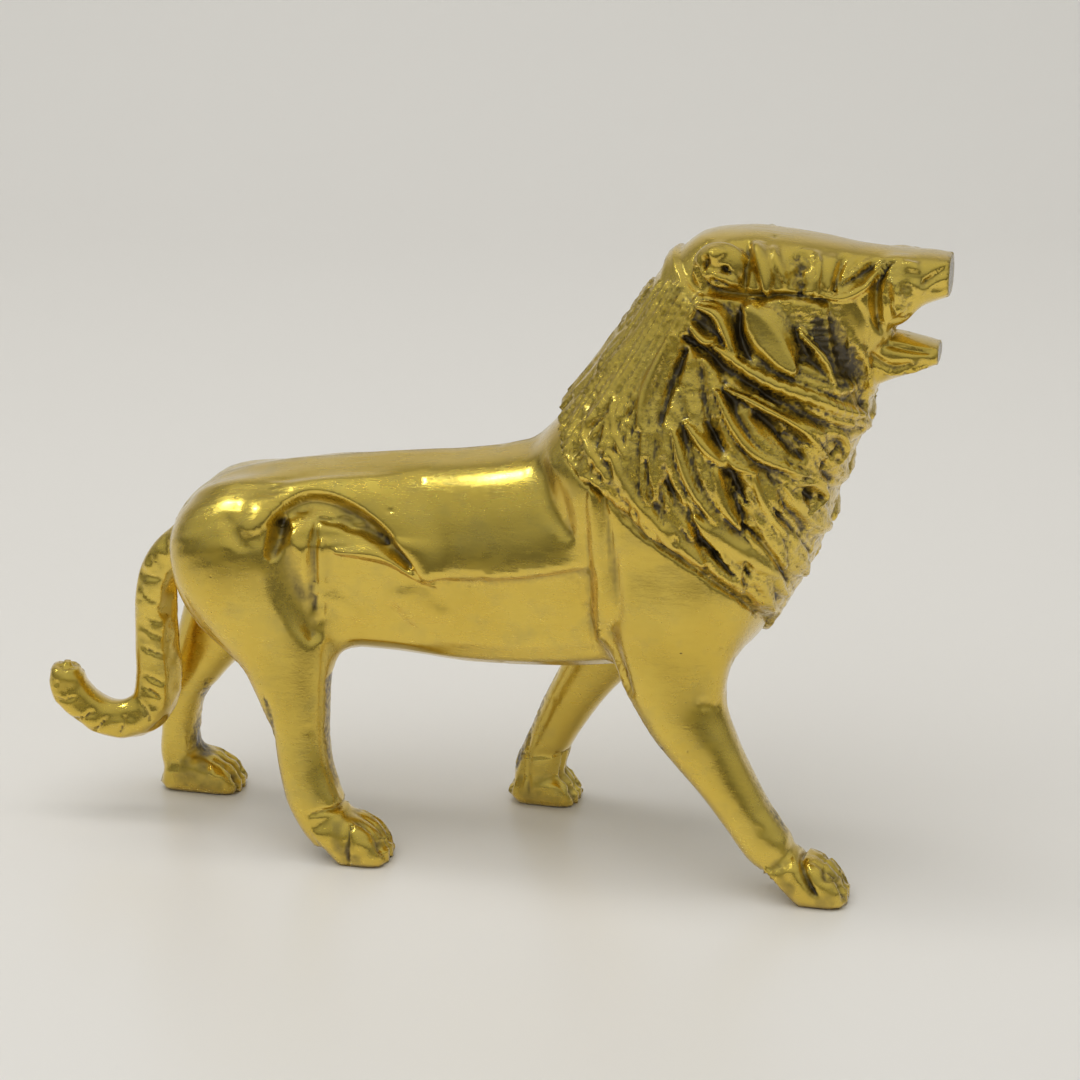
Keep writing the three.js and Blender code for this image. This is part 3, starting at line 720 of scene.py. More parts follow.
def rolled(strokes):
    return [(rolled_path(points), half, height) for points, half, height in strokes]


def nape_strands():
    """Long strands side by side down the nape."""
    strands = []
    for i in range(NAPE_STRANDS):
        shift = STRAND * (i - NAPE_STRANDS / 2) + 0.4 * lattice(i, 1, 2, 13)
        top, low = 98.0 + 1.2 * lattice(i, 4, 2, 14), 72.0 + 3.0 * lattice(i, 7, 3, 15)
        path = []
        for s in (0.0, 0.33, 0.67, 1.0):
            z = top + (low - top) * s
            middle, long, wide = neck_at(z)
            path.append((middle - long + shift * (0.75 + 0.4 * s), z))
        strands.append((trace(path), 0.62 * STRAND, 2.0))
    return strands


TIER_LOCKS = tier_locks() + nape_strands()
RIDGES = rolled(MANE_RIDGES)
GROOVES = rolled(MANE_GROOVES)
PUNCHES = rolled(PUNCH_MARKS)
TWISTED = rolled(TWIST_LINES)
HEM_PATH = rolled_path(HEM_LINE)
FACE_PATH = trace(FACE_LINE)


def past_line(u, w, path):
    """Signed distance to a line: positive on its left, seen along its way."""
    gap, _, turn = near_path(u, w, path)
    return gap * turn


def mane_relief(points):
    """Height of the mane's carving, and how much of a place belongs to the mane."""
    x, y, z = points.T
    u = roll_out(x, z, y)
    hem = past_line(u, z, HEM_PATH)
    face = past_line(x, z, FACE_PATH)
    inside = ease(hem, -0.4, 0.5) * ease(-face, -0.3, 0.5)

    away = np.hypot(u - FAN_X, z - FAN_Z)
    turn = np.arctan2(u - FAN_X, FAN_Z - z) - 0.012 * away
    side = np.sign(y) * 50
    wander = noise(np.stack([away / 7, turn * FAN_REACH / 5, side], 1), 1.0, 3)
    strands = np.abs(np.sin(math.pi * (turn * FAN_REACH / STRAND + 0.7 * wander))) ** 0.7 - 0.6
    facets = 0.5 - np.abs(noise(np.stack([u, z, side], 1), 3.6, 8)) * 1.8
    stipple = noise(points, 0.85, 4)
    spread = ease(away, 10, 22)

    locks = carve(u, z, TIER_LOCKS, flame_shape)
    ridges = carve(u, z, RIDGES, ridge_shape)
    grooves = carve(u, z, GROOVES, groove_shape)
    punches = carve(u, z, PUNCHES, ridge_shape)
    height = np.maximum(locks, ridges) - twist_marks(u, z)
    smooth = ease(ridges, 1.2, 2.2)
    nape = ease(-turn, 0.25, 0.6)
    rough = STRAND_RISE * spread * strands * (1 + 0.5 * nape)
    rough = rough + (FACET_RISE * facets + STIPPLE_RISE * stipple) * (1 - 0.8 * nape)
    height = height + rough * (1 - 0.75 * smooth) - grooves - punches
    height = np.maximum(height, -DEEPEST_CUT)
    middle, long, wide = neck_at(z)
    edge = ease(np.abs(x - middle) / long, 0.72, 0.97)
    height = height * (1 - 0.35 * edge)
    return inside * (MANE_RISE + height), inside


def twist_marks(u, w):
    """Slanting cuts that make a ridge look like twisted rope."""
    depth = np.zeros(len(u))
    for path, half, height in TWISTED:
        band = carve(u, w, [(path, half, height)], ridge_shape)
        gap, share, turn = near_path(u, w, path)
        depth += band * (0.5 + 0.5 * np.sin(2 * math.pi * share * TWISTS + 1.6 * gap * turn)) ** 3
    return depth


def hem_groove(points):
    """The chased line along the mane's lower edge."""
    x, y, z = points.T
    u = roll_out(x, z, y)
    gap = near_path(u, z, HEM_PATH)[0]
    wobble = 0.25 * noise(points, 1.6, 21)
    depth = 1.0 + 0.35 * noise(points, 1.0, 22)
    return depth * np.clip(1 - np.abs(gap - 0.3 + wobble) / 0.9, 0, 1)


# The head

# Each: shape, path, half width, height, which is less than nothing for a hollow.
FACE_FORMS = [
    # Ear: rolled rim, two holes, and the nick under its front edge
    (soft_shape, [(28.8, 104.4), (32.0, 105.2)], 1.8, 0.6),
    (soft_shape, [(30.6, 101.6), (34.4, 100.0)], 1.4, 0.9),
    (soft_shape, [(29.4, 104.4), (28.8, 102.2)], 1.0, -1.5),
    (soft_shape, [(31.6, 102.8), (32.8, 102.0)], 0.9, -1.3),
    (soft_shape, [(30.4, 100.6), (32.6, 99.8)], 0.9, -1.0),
    (groove_shape, [(27.2, 103.2), (28.6, 100.4), (31.6, 98.6), (37.0, 98.1), (42.4, 98.3),
                    (48, 97.6)], 1.1, -1.5),
    # Temple: a broad blade of hair and a narrow one beside it
    (soft_shape, [(35.0, 106.6), (35.2, 102.0), (35.2, 98.8)], 0.9, -1.2),
    (fold_shape, [(36.2, 106.8), (38.0, 102.6), (38.9, 98.6)], 2.3, 1.8),
    (fold_shape, [(38.8, 106.4), (40.2, 103.4), (41.7, 100.4)], 1.2, 1.2),
    (soft_shape, [(43.2, 105.4), (43.6, 102.0), (43.8, 98.8)], 2.3, -1.1),
    # Brow, eye and lower lid
    (fold_shape, [(42.4, 104.6), (45.4, 105.2), (46.6, 103.0), (46.4, 98.6)], 0.9, 1.3),
    (soft_shape, [(48.4, 105.6), (48.2, 99.6)], 2.4, 0.6),
    (groove_shape, [(49.0, 99.0), (49.9, 103.0), (51.2, 104.9), (53.0, 105.0)], 0.9, -1.4),
    (soft_shape, [(50.8, 100.4), (53.6, 102.4), (56.4, 104.8)], 2.2, -0.9),
    (soft_shape, [(50.2, 100.4), (53.7, 103.1), (56.0, 104.6)], 0.9, 1.1),
    (fold_shape, [(47.8, 98.4), (50.8, 98.2), (53.8, 99.7), (55.9, 102.1), (56.8, 103.6)], 1.2, 1.4),
    # Lips, flews and nose
    (groove_shape, [(57.6, 103.2), (55.8, 100.6), (55.4, 97.3), (55.8, 94.2), (57.0, 91.4)],
     1.2, -1.7),
    (soft_shape, [(58.0, 100.6), (59.0, 97.6), (58.6, 95.0)], 1.5, 0.9),
    (soft_shape, [(61.2, 100.4), (62.8, 99.0)], 1.4, 0.6),
    (soft_shape, [(60.0, 104.4), (61.6, 102.6)], 1.9, 0.7),
    (groove_shape, [(62.6, 100.2), (64.8, 101.6), (67.4, 103.2)], 0.9, -0.9),
    (soft_shape, [(64.2, 99.4), (66.4, 99.8)], 1.4, -0.5),
    (groove_shape, [(56.0, 90.0), (60.0, 89.2), (64.6, 88.6)], 0.7, -0.8),
    # Jaw side: tufts of the beard and lines in the cheek
    (soft_shape, [(54.6, 88.6), (57.6, 86.4), (61.0, 87.0)], 1.1, -0.7),
    (fold_shape, [(55.6, 86.6), (59.0, 85.0), (63.6, 86.4)], 0.9, 0.5),
    (soft_shape, [(52.2, 97.6), (54.0, 94.0), (54.2, 90.0)], 1.2, -0.5),
]
FACE_PATCHES = [
    ([(55.6, 86), (59.6, 85.6), (63.6, 87)], 1.8, 0.6),
    ([(43.4, 104.6), (43.8, 98.8)], 2.4, 1),
    ([(50.6, 100.4), (55.4, 103.6)], 1.8, 0.8),
    ([(57.4, 102), (58.8, 98.6), (60, 95.4)], 3.2, 1),
    ([(28.6, 101.6), (33.4, 100.4)], 3, 0.8),
    ([(36, 97), (45, 97.2)], 1.4, 1),
    ([(47.6, 96.6), (49.6, 94)], 2.2, 1),
]
PUNCHED_ROW = [(36.8 + 1.7 * i, 96.9) for i in range(5)]
FACE_FORMS = traced(FACE_FORMS)
FACE_PATCHES = [(trace(path), half, height) for path, half, height in FACE_PATCHES]


def on_head(points):
    return ease(points[:, 2], 78, 80) * ease(points[:, 0], 20, 24)


def faces_sideways(outward):
    return ease(np.abs(outward[:, 1]), 0.42, 0.72)


def by_mane(points):
    return ease(neck_gap(points), 5.0, 3.0)


def face_relief(points):
    x, y, z = points.T
    height = carve_forms(x, z, FACE_FORMS)
    for place in PUNCHED_ROW:
        height -= 0.7 * ease(np.hypot(x - place[0], z - place[1]), 0.75, 0.2)
    patches = carve(x, z, FACE_PATCHES, ridge_shape)
    stipple = 0.6 * noise(points, 0.95, 31) + 0.3 * noise(points, 1.9, 32)
    return on_head(points) * (height + patches * stipple)


# Body, legs, paws and tail

# Each: shape, path, half width, height, which is less than nothing for a hollow.
FLANK_FORMS = [
    (rollover_shape, [(-44.4, 57.0), (-42.0, 60.8), (-37.0, 62.9), (-30.5, 62.0), (-23.8, 58.6),
                      (-18.8, 53.6), (-15.8, 48.8)], 9, 1.2),
    (soft_shape, [(-31.4, 53.0), (-26.0, 52.8), (-21.6, 51.8), (-17.0, 48.6)], 1.6, 1.0),
    (soft_shape, [(-33.6, 54.6), (-33.8, 48.0), (-34.0, 42.0)], 1.5, 0.6),
    (soft_shape, [(-21.6, 45.2), (-17.8, 43.8), (-14.0, 42.6)], 5.2, 0.6),
    (soft_shape, [(-33.0, 44.8), (-28.0, 41.0)], 2.4, 0.4),
    (soft_shape, [(12.0, 67.0), (13.4, 54.0), (12.8, 41.0)], 2.2, 0.7),
    (soft_shape, [(-41.2, 56.8), (-40.2, 52.0), (-38.8, 47.0), (-36.8, 42.0), (-35.6, 38.6)],
     3.8, -1.5),
    (recess_shape, [(-42.0, 52.6), (-40.8, 56.6), (-38.0, 59.2), (-34.4, 59.8), (-29.4, 58.6),
                    (-23.8, 55.6), (-19.2, 51.4)], 3.6, -1.6),
    (soft_shape, [(-34.8, 57.6), (-29.4, 56.7), (-23.0, 54.6)], 1.3, -0.8),
    (soft_shape, [(-35.2, 57.0), (-35.4, 49.0), (-35.4, 42.0)], 1.5, -0.8),
    (soft_shape, [(-22.8, 47.0), (-21.8, 42.6), (-18.4, 38.4)], 2.2, -0.2),
    (fold_shape, [(-50.2, 57.6), (-48.2, 55.4), (-46.6, 53.6)], 2.4, -0.5),
    (soft_shape, [(0.6, 71.0), (4.6, 64.6), (8.0, 58.6)], 3.6, -0.9),
    (soft_shape, [(14.0, 66.0), (16.2, 49.0), (15.4, 42.2), (18.6, 33.2)], 2.2, -0.8),
    (soft_shape, [(11.0, 60.0), (11.4, 48.0), (11.0, 38.0)], 1.2, -0.35),
]
FLANK_FORMS = traced(FLANK_FORMS)
CHISELLED = [(trace([(-34.0, 57.6), (-29.0, 56.4), (-22.4, 54.0)]), 2.8, 1.0)]
FILED = [(trace([(3.0, 70.0), (8.6, 62.0), (12.8, 52.0), (13.0, 38.0)]), 5.5, 1.0)]
# Hollows of the flank and cheek painted darker as shade, standing in for the dark room the metal
# reflects there: path, half width, darkness.
PAINTED_SHADE_PATHS = [
    (trace([(-41.4, 57.4), (-39.8, 54.0), (-38.6, 50.0), (-37.2, 45.0)]), 4.6, 0.62),
    (trace([(-39.0, 58.6), (-31.0, 58.4), (-25.0, 55.8), (-20.0, 51.8)]), 2.4, 0.45),
    (trace([(-35.4, 56.0), (-35.4, 43.0)]), 1.3, 0.4),
    (trace([(-48.6, 55.4), (-46.6, 53.8)]), 1.2, 0.4),
    (trace([(47.2, 94.6), (50.2, 89.6), (52.2, 84.0)]), 4.0, 0.9),
]
SIDE_SHADE_DARKNESS = 2


def flank_relief(points):
    x, y, z = points.T
    on_body = ease(np.abs(y), 3.5, 6.0) * ease(z, 30, 35)
    height = carve_forms(x, z, FLANK_FORMS)
    chisel = carve(x, z, CHISELLED, soft_shape)
    slant = np.stack([x + 0.6 * z, y, z * 2.2], 1)
    marks = 0.5 * noise(slant, 1.9, 41)
    lines = noise(np.stack([(x + 0.25 * z) / 1.1, y / 3, z / 9], 1), 1.0, 42)
    filed = 0.3 * lines * carve(x, z, FILED, soft_shape)
    return on_body * (height + chisel * marks + filed)


# Painted shade in streaks on the side-facing hollows of the flank and cheek.
def painted_side_shade(points, outward):
    x, y, z = points.T
    streaks = 0.7 + 0.5 * noise(np.stack([x / 1.6, y, z / 4], 1), 1.0, 43)
    on_side = ease(np.abs(outward[:, 1]), 0.3, 0.6) * (z > 36)
    return on_side * streaks * carve(x, z, PAINTED_SHADE_PATHS, soft_shape)


# Strips of rough chisel work down the legs: side, path, half width, depth.
LEG_STRIPS = [
    (-1, trace([(-33.4, 31.0), (-33.2, 25.3), (-33.0, 19.9), (-31.8, 14.6), (-29.8, 11.0),
                (-27, 9.2)]), 1.2, 0.6),
    (-1, trace([(-43.8, 28.0), (-42.6, 24.0), (-42.2, 19.6)]), 1.3, 0.8),
    (-1, trace([(34.8, 28.4), (38.9, 20.9), (43.2, 13.5), (47.4, 8.6)]), 1.1, 0.5),
    (1, trace([(0.4, 28.0), (-4.7, 15.0), (-8.0, 6.0)]), 1.6, 0.7),
    (1, trace([(-61.4, 22.0), (-63.4, 15.0), (-64.4, 8.6), (-60.6, 6.6)]), 1.5, 0.6),
]
# How dark the leg strips are painted, patina and painted shade together.
STRIP_DARKNESS = 1.0
PAW_DARKNESS = 1.5
LEG_CUTS = [
    (-1, [(30, 32.2), (34, 31.8)], 0.45, 0.8),
    (-1, [(40.6, 12.4), (41.6, 12)], 0.5, 0.5),
    (-1, [(46.6, 9), (48.4, 5.2), (50.2, 2.6)], 0.9, 1.3),
    (-1, [(50.8, 7), (51.4, 5), (53.2, 4.4)], 0.5, 0.6),
    (-1, [(52.4, 7.2), (52.9, 6), (54.6, 5.4)], 0.45, 0.5),
    (-1, [(-28.2, 7), (-28.5, 3), (-28.6, 0.6)], 0.55, 0.9),
    (-1, [(-35.4, 8.4), (-32.6, 9.2), (-29.6, 9.4), (-27.2, 10.6)], 0.6, 0.9),
    (1, [(-6.4, 9.2), (-1.8, 9.6), (2.4, 10)], 0.45, 0.4),
    (1, [(-5.1, 16), (-5.1, 2.5)], 0.4, 0.35),
]
LEG_CUTS = [(side, trace(p), half, depth) for side, p, half, depth in LEG_CUTS]


def leg_relief(points):
    """Height of the carving on the legs, and how dark its strips are painted: patina in their rough
    ground and painted shade on the side of the leg.
    """
    x, y, z = points.T
    height = np.zeros(len(points))
    dark = np.zeros(len(points))
    rough = noise(points, 1.0, 51)
    for side, path, half, depth in LEG_STRIPS:
        here = np.sign(y) == side
        strip = carve(x, z, [(path, half, 1.0)], ridge_shape)
        height += here * strip * depth * (0.3 * rough - 0.35)
        dark = np.maximum(dark, here * strip)
    for side, path, half, depth in LEG_CUTS:
        here = np.sign(y) == side
        height -= here * carve(x, z, [(path, half, depth)], groove_shape)
    return height, dark


TOE_CUT_HALF = 0.6
TOE_CUT_DEPTH = 1.0
TOE_BULGE = 0.1
INSTEP_CHASING = 0.22


def paw_relief(points):
    """Toes that bulge between slanting cuts, with chased lines on the instep."""
    x, y, z = points.T
    height = np.zeros(len(points))
    rough = 0.45 - np.abs(noise(points, 2.4, 61)) * 1.7
    for side, heel, toes, out, instep, half, *_ in PAWS:
        over = (y - side * out) / (half * TOE_SPREAD)
        here = ease(x, toes - 6.5, toes - 3.0) * (x < toes + 3)
        here = here * ease(2 * half - np.abs(y - side * out), 2, 3) * (z < instep + 3)
        phase = (over + 1) / 2 * TOES
        between = np.abs(phase - np.round(phase)) * 2 * half * TOE_SPREAD / TOES
        inner = (np.round(phase) > 0) & (np.round(phase) < TOES)
        cut = np.clip(1 - between / TOE_CUT_HALF, 0, 1) * inner
        height += here * (TOE_BULGE - TOE_CUT_DEPTH * cut)
        upper = ease(x, heel + 1, heel + 5) * (x < toes + 2) * (np.abs(over) < 1.5)
        height += upper * ease(z, 1.6, 3.5) * (z < instep + 4) * INSTEP_CHASING * rough
    return height


CUT_PITCH = 3.7
CUT_HALF = 0.5
CUT_SLANT = 0.55
CUT_DARKNESS = 1.6


def tail_relief(points):
    """Hammered above and cut across below: its height, and where the cuts have gone dark."""
    x, y, z = points.T
    height = np.zeros(len(points))
    dark = np.zeros(len(points))
    near = (x < -60) & (np.abs(y) < 9) & (z > 9) & (z < 54)
    near &= TAIL_LIMB(points) < 3
    if not near.any():
        return height, dark
    place, _, across, wide, _ = limb_place(points[near], TAIL_ROWS, TAIL_TWIST)
    step = np.linalg.norm(np.diff(TAIL_ROWS[:, :3], axis=0), axis=1)
    travelled = np.interp(place, np.arange(len(TAIL_ROWS)), np.append(0, np.cumsum(step)))
    face = ease(-across, -2.6, -0.6)
    outer = ease(-across, -0.9, 0.7) * ease(np.abs(across), 3.0, 2.2)
    rounded_end = ease(len(TAIL_ROWS) - 1 - place, 0.5, 5.0)
    lower = ease(travelled, 20, 27)
    slant = travelled + CUT_SLANT * np.abs(wide) + 0.3 * across
    index = np.round(slant / CUT_PITCH)
    offset = 0.25 * CUT_PITCH * lattice(index.astype(np.int64), 2, 5, 71)
    gap = np.abs(slant - index * CUT_PITCH - offset)
    depth = 0.95 + 0.3 * lattice(index.astype(np.int64), 7, 1, 72)
    cuts = outer * depth * np.clip(1 - gap / CUT_HALF, 0, 1) * (0.2 + 0.5 * lower)
    hammered = 0.5 - 1.4 * np.abs(noise(points[near], 2.3, 73)) + 0.2 * noise(points[near], 1.1, 74)
    height[near] = rounded_end * (face * hammered * 0.5 * (1 - 0.6 * lower) - cuts)
    dark[near] = rounded_end * np.clip(cuts, 0, 1)
    return height, dark


def paw_darkening(points):
    """The paws made darker below the top of the instep, less so here and there."""
    x, y, z = points.T
    patchy = 0.6 + 0.8 * noise(points, 1.7, 62)
    darkening = np.zeros(len(points))
    for side, heel, toes, out, instep, half, *_ in PAWS:
        near = ease(np.abs(y - side * out), half + 1.5, half)
        near = near * ease(x, heel, heel + 4) * (x < toes + 2)
        darkening = np.maximum(darkening, near * ease(z, instep + 1.0, instep - 1.5))
    return darkening * np.clip(patchy, 0, 1)


# How dark the painted shade on the forward-facing ends of the muzzle and jaw is.
MUZZLE_DARKNESS = 2.4


def muzzle_end_painted_shade(points, outward):
    """The flat, forward-facing ends of the muzzle and jaw are painted darker than their sides, as
    shade.
    """
    x, y, z = points.T
    return ease(outward[:, 0], 0.5, 0.85) * ease(x, 60, 63) * ease(z, 80, 82)


def cast_unevenness(points):
    """The slow waves and small dents of a hand-finished casting."""
    waves = 0.16 * noise(points, 9.0, 81) + 0.06 * noise(points, 3.6, 82)
    dents = noise(points, 1.5, 83)
    return waves - 0.35 * ease(dents, 0.78, 0.95)


def relief(points, outward):
    """Height of all the carving above the smooth body."""
    mane, inside = mane_relief(points)
    outside = 1 - inside
    near_mane = by_mane(points)
    height = near_mane * mane
    height += faces_sideways(outward) * outside * (face_relief(points) + flank_relief(points))
    height -= hem_groove(points) * near_mane * (points[:, 0] < 46)
    legs, leg_dark = leg_relief(points)
    tail, tail_dark = tail_relief(points)
    height += legs + tail + paw_relief(points)
    return height + outside * cast_unevenness(points)


# The mesh

GRID = 1.76  # spacing of the first, coarse mesh; each refinement halves it
LOW = (-90.0, -27.3, -1.9)
HIGH = (70.0, 27.3, 111.0)


def field_on_grid(xs, ys, zs, every=3):
    """The body's field on a grid. Far from the surface a coarser grid's values do."""
    shape = (len(xs), len(ys), len(zs))
    picks = [np.arange(0, n + every, every).clip(max=n - 1) for n in shape]
    rough = np.stack(np.meshgrid(xs[picks[0]], ys[picks[1]], zs[picks[2]], indexing="ij"), -1)
    coarse = body_gap(rough.reshape(-1, 3)).reshape(rough.shape[:3])
    nearest = [np.minimum((np.arange(n) + every // 2) // every, len(p) - 1)
               for n, p in zip(shape, picks)]
    field = coarse[np.ix_(*nearest)].copy()
    close = np.argwhere(np.abs(field) < GRID * every)
    places = np.stack([xs[close[:, 0]], ys[close[:, 1]], zs[close[:, 2]]], 1)
    field[tuple(close.T)] = body_gap(places)
    return field


def surface_net(xs, ys, zs, field):
    """Quads around the places where the field changes sign, one corner in each cell it crosses."""
    axes = (xs, ys, zs)
    shape = np.array(field.shape)
    stride = np.array([shape[1] * shape[2], shape[2], 1])
    inside = field < 0
    cell_ids, spots, quads, outward = [], [], [], []
    for axis in range(3):
        second, third = (axis + 1) % 3, (axis + 2) % 3
        low = [slice(1, -1)] * 3
        high = [slice(1, -1)] * 3
        low[axis] = slice(0, -1)
        high[axis] = slice(1, None)
        crossing = np.argwhere(inside[tuple(low)] != inside[tuple(high)])
        offset = np.ones(3, int)
        offset[axis] = 0
        corner = crossing + offset
        ahead = corner.copy()
        ahead[:, axis] += 1
        first, last = field[tuple(corner.T)], field[tuple(ahead.T)]
        t = first / (first - last)
        spot = np.stack([axes[k][corner[:, k]] for k in range(3)], 1)
        spot[:, axis] += t * (axes[axis][ahead[:, axis]] - axes[axis][corner[:, axis]])
        around = []
        for a, b in ((1, 1), (0, 1), (0, 0), (1, 0)):
            cell = corner.copy()
            cell[:, second] -= a
            cell[:, third] -= b
            around.append(cell @ stride)
        around = np.stack(around, 1)
        cell_ids.append(around.ravel())
        spots.append(np.repeat(spot, 4, axis=0))
        quads.append(around)
        outward.append(first < 0)
    cell_ids = np.concatenate(cell_ids)
    spots = np.concatenate(spots)
    quads = np.concatenate(quads)
    outward = np.concatenate(outward)
    cells, where = np.unique(cell_ids, return_inverse=True)
    count = np.bincount(where)
    corners = np.stack([np.bincount(where, spots[:, k]) / count for k in range(3)], 1)
    quads = np.searchsorted(cells, quads)
    quads[~outward] = quads[~outward][:, ::-1]
    return corners, quads


def slope(points, step=0.35):
    """Outward direction of the smooth body."""
    result = np.empty_like(points)
    for axis in range(3):
        move = np.zeros(3)
        move[axis] = step
        result[:, axis] = body_gap(points + move) - body_gap(points - move)
    return result / np.linalg.norm(result, axis=1)[:, None]


def onto_body(points, rounds=2):
    for _ in range(rounds):
        points = points - body_gap(points)[:, None] * slope(points)
    return points


def relax(points, edges, rounds):
    """Each corner moves towards the middle of its neighbours."""
    a = np.concatenate([edges[:, 0], edges[:, 1]])
    b = np.concatenate([edges[:, 1], edges[:, 0]])
    count = np.bincount(a, minlength=len(points))
    for _ in range(rounds):
        middle = np.stack([np.bincount(a, points[b, k], len(points)) for k in range(3)], 1)
        points = points + 0.5 * (middle / count[:, None] - points)
    return points


def edges_of(quads):
    pairs = np.stack([quads, np.roll(quads, -1, axis=1)], -1).reshape(-1, 2)
    return np.unique(np.sort(pairs, axis=1), axis=0)


def wants_detail(points):
    """How many times the mesh is halved at each place: 0, 1 or 2."""
    x, y, z = points.T
    u = roll_out(x, z, y)
    hem = past_line(u, z, HEM_PATH)
    mane = (neck_gap(points) < 6) & (hem > -2.0)
    head = (z > 78) & (x > 18)
    tail = (x < -61) & (y < 0.5) & (TAIL_LIMB(points) < 1.0)
    fold = (np.abs(y) > 8) & (x > -43) & (x < -15) & (z > 47) & (z < 64)
    paws = np.zeros(len(points), bool)
    for side, heel, toes, out, instep, *_ in PAWS:
        paws |= (side * y > 4) & (z > 1) & (z < instep + 3) & (x > heel - 1) & (x < toes + 1)
    plain = (np.abs(y) < 7) & (z > 28) & (x > -60) & (x < 8)
    return np.where(mane | head | tail | paws | fold, 2, np.where(plain, 0, 1))


def cut_in_four(points, quads, splits):
    """Cuts quads in four. Each edge's new middle corner goes into `splits`."""
    ends = np.sort(np.stack([quads, np.roll(quads, -1, axis=1)], -1), axis=2).reshape(-1, 2)
    edges, where = np.unique(ends, axis=0, return_inverse=True)
    known = np.array([splits.get((a, b), -1) for a, b in edges.tolist()])
    fresh = known < 0
    known[fresh] = len(points) + np.arange(fresh.sum())
    splits.update(zip(map(tuple, edges[fresh].tolist()), known[fresh].tolist()))
    middles = points[edges[fresh]].mean(1)
    centres = points[quads].mean(1)
    centre = len(points) + len(middles) + np.arange(len(quads))
    points = np.vstack([points, middles, centres])
    mid = known[where.reshape(-1)].reshape(-1, 4)
    corners = [np.stack([quads[:, k], mid[:, k], centre, mid[:, k - 1]], 1) for k in range(4)]
    return points, np.vstack(corners)


def with_splits(quad, splits):
    """A quad's corners, with the middle corners that its finer neighbours have added."""
    result = []

    def walk(a, b):
        middle = splits.get((min(a, b), max(a, b)))
        if middle is not None:
            walk(a, middle)
            result.append(middle)
            walk(middle, b)

    for k in range(4):
        result.append(quad[k])
        walk(quad[k], quad[(k + 1) % 4])
    return result


def build_surface():
    """Corners of the smooth body's mesh and its faces, finer where the carving is."""
    xs, ys, zs = (np.arange(low, high, GRID) for low, high in zip(LOW, HIGH))
    points, quads = surface_net(xs, ys, zs, field_on_grid(xs, ys, zs))
    points = onto_body(relax(points, edges_of(quads), 1))
    splits = {}
    finished = []
    for level in (1, 2):
        chosen = wants_detail(points[quads].mean(1)) >= level
        finished.append(quads[~chosen])
        points, quads = cut_in_four(points, quads[chosen], splits)
        points = onto_body(points, 1)
    faces = quads.tolist()
    for coarse in finished:
        faces += [with_splits(quad, splits) for quad in coarse.tolist()]
    return points, faces


CARVE_ROUNDS = 4
CARVE_STEP = 0.9  # how far a corner may move in one round


def carve_surface(base):
    """Moves each corner out or in along the body's outward direction by the relief there."""
    outward = slope(base)
    points = base.copy()
    for _ in range(CARVE_ROUNDS):
        rise = relief(points, outward)
        along = ((points - base) * outward).sum(1)
        points = points + np.clip(rise - along, -CARVE_STEP, CARVE_STEP)[:, None] * outward
    points[:, 2] = np.maximum(points[:, 2], 0.0)
    return points, outward


def chased(points, outward):
    """Where the punch has left a rough, dark ground: 0 on plain metal, 1 in the chased places."""
    x, y, z = points.T
    inside = mane_relief(points)[1]
    near_mane = by_mane(points)
    u = roll_out(x, z, y)
    smooth = ease(carve(u, z, RIDGES, ridge_shape), 1.0, 2.0)
    nape = ease(neck_at(z)[0] - neck_at(z)[1] + NAPE_WIDTH - x, -2.0, 3.0)
    ground = inside * near_mane * (1 - 0.8 * smooth) * (1 - 0.55 * nape)
    on_face = on_head(points) * (1 - inside) * faces_sideways(outward)
    patches = on_face * carve(x, z, FACE_PATCHES, ridge_shape)
    # The leg strips count as chased ground here, which also paints them darker as shade.
    strips = leg_relief(points)[1]
    return np.clip(np.maximum.reduce([ground, patches, strips]), 0, 1)


# Rounds of smoothing that a place is compared with, and the weight of each comparison.
HOLLOW_SCALES = ((4, 1.2), (14, 1.0), (40, 0.35))


def hollowness(points, edges, outward):
    """How deep each corner lies below the surface around it, in millimetres."""
    result = np.zeros(len(points))
    smooth = points
    for rounds, weight in HOLLOW_SCALES:
        smooth = relax(smooth, edges, rounds)
        result += weight * ((smooth - points) * outward).sum(1)
    return result


def build_lion():
    base, faces = build_surface()
    points, outward = carve_surface(base)
    mesh = bpy.data.meshes.new("lion_casting")
    mesh.from_pydata(((points + SHIFT) * MM).tolist(), [], faces)
    mesh.shade_smooth()
    edges = np.empty(len(mesh.edges) * 2, np.int32)
    mesh.edges.foreach_get("vertices", edges)
    # Depth below the surface for patina, with painted shade added to it below.
    hollow_and_painted_shade = hollowness(points, edges.reshape(-1, 2), outward)
    # The leg strips: patina in their rough ground, and painted shade on the side of the leg.
    hollow_and_painted_shade += STRIP_DARKNESS * leg_relief(points)[1]
    hollow_and_painted_shade += CUT_DARKNESS * tail_relief(points)[1]
    # Painted shade in the flank and cheek hollows.
    hollow_and_painted_shade += SIDE_SHADE_DARKNESS * painted_side_shade(points, outward)
    hollow_and_painted_shade += PAW_DARKNESS * paw_darkening(points)
    # Painted shade on the forward-facing ends of the muzzle and jaw.
    hollow_and_painted_shade += MUZZLE_DARKNESS * muzzle_end_painted_shade(points, outward)
    for name, values in (("hollow_and_painted_shade", hollow_and_painted_shade), ("chased", chased(points, outward))):
        mesh.attributes.new(name, "FLOAT", "POINT").data.foreach_set(
            "value", values.astype(np.float32))
    lion = bpy.data.objects.new("lion_casting", mesh)
    bpy.context.scene.collection.objects.link(lion)
    triangles = sum(len(face) - 2 for face in faces)
    print("lion_casting:", len(points), "corners,", triangles, "triangles")
    return lion


# Materials

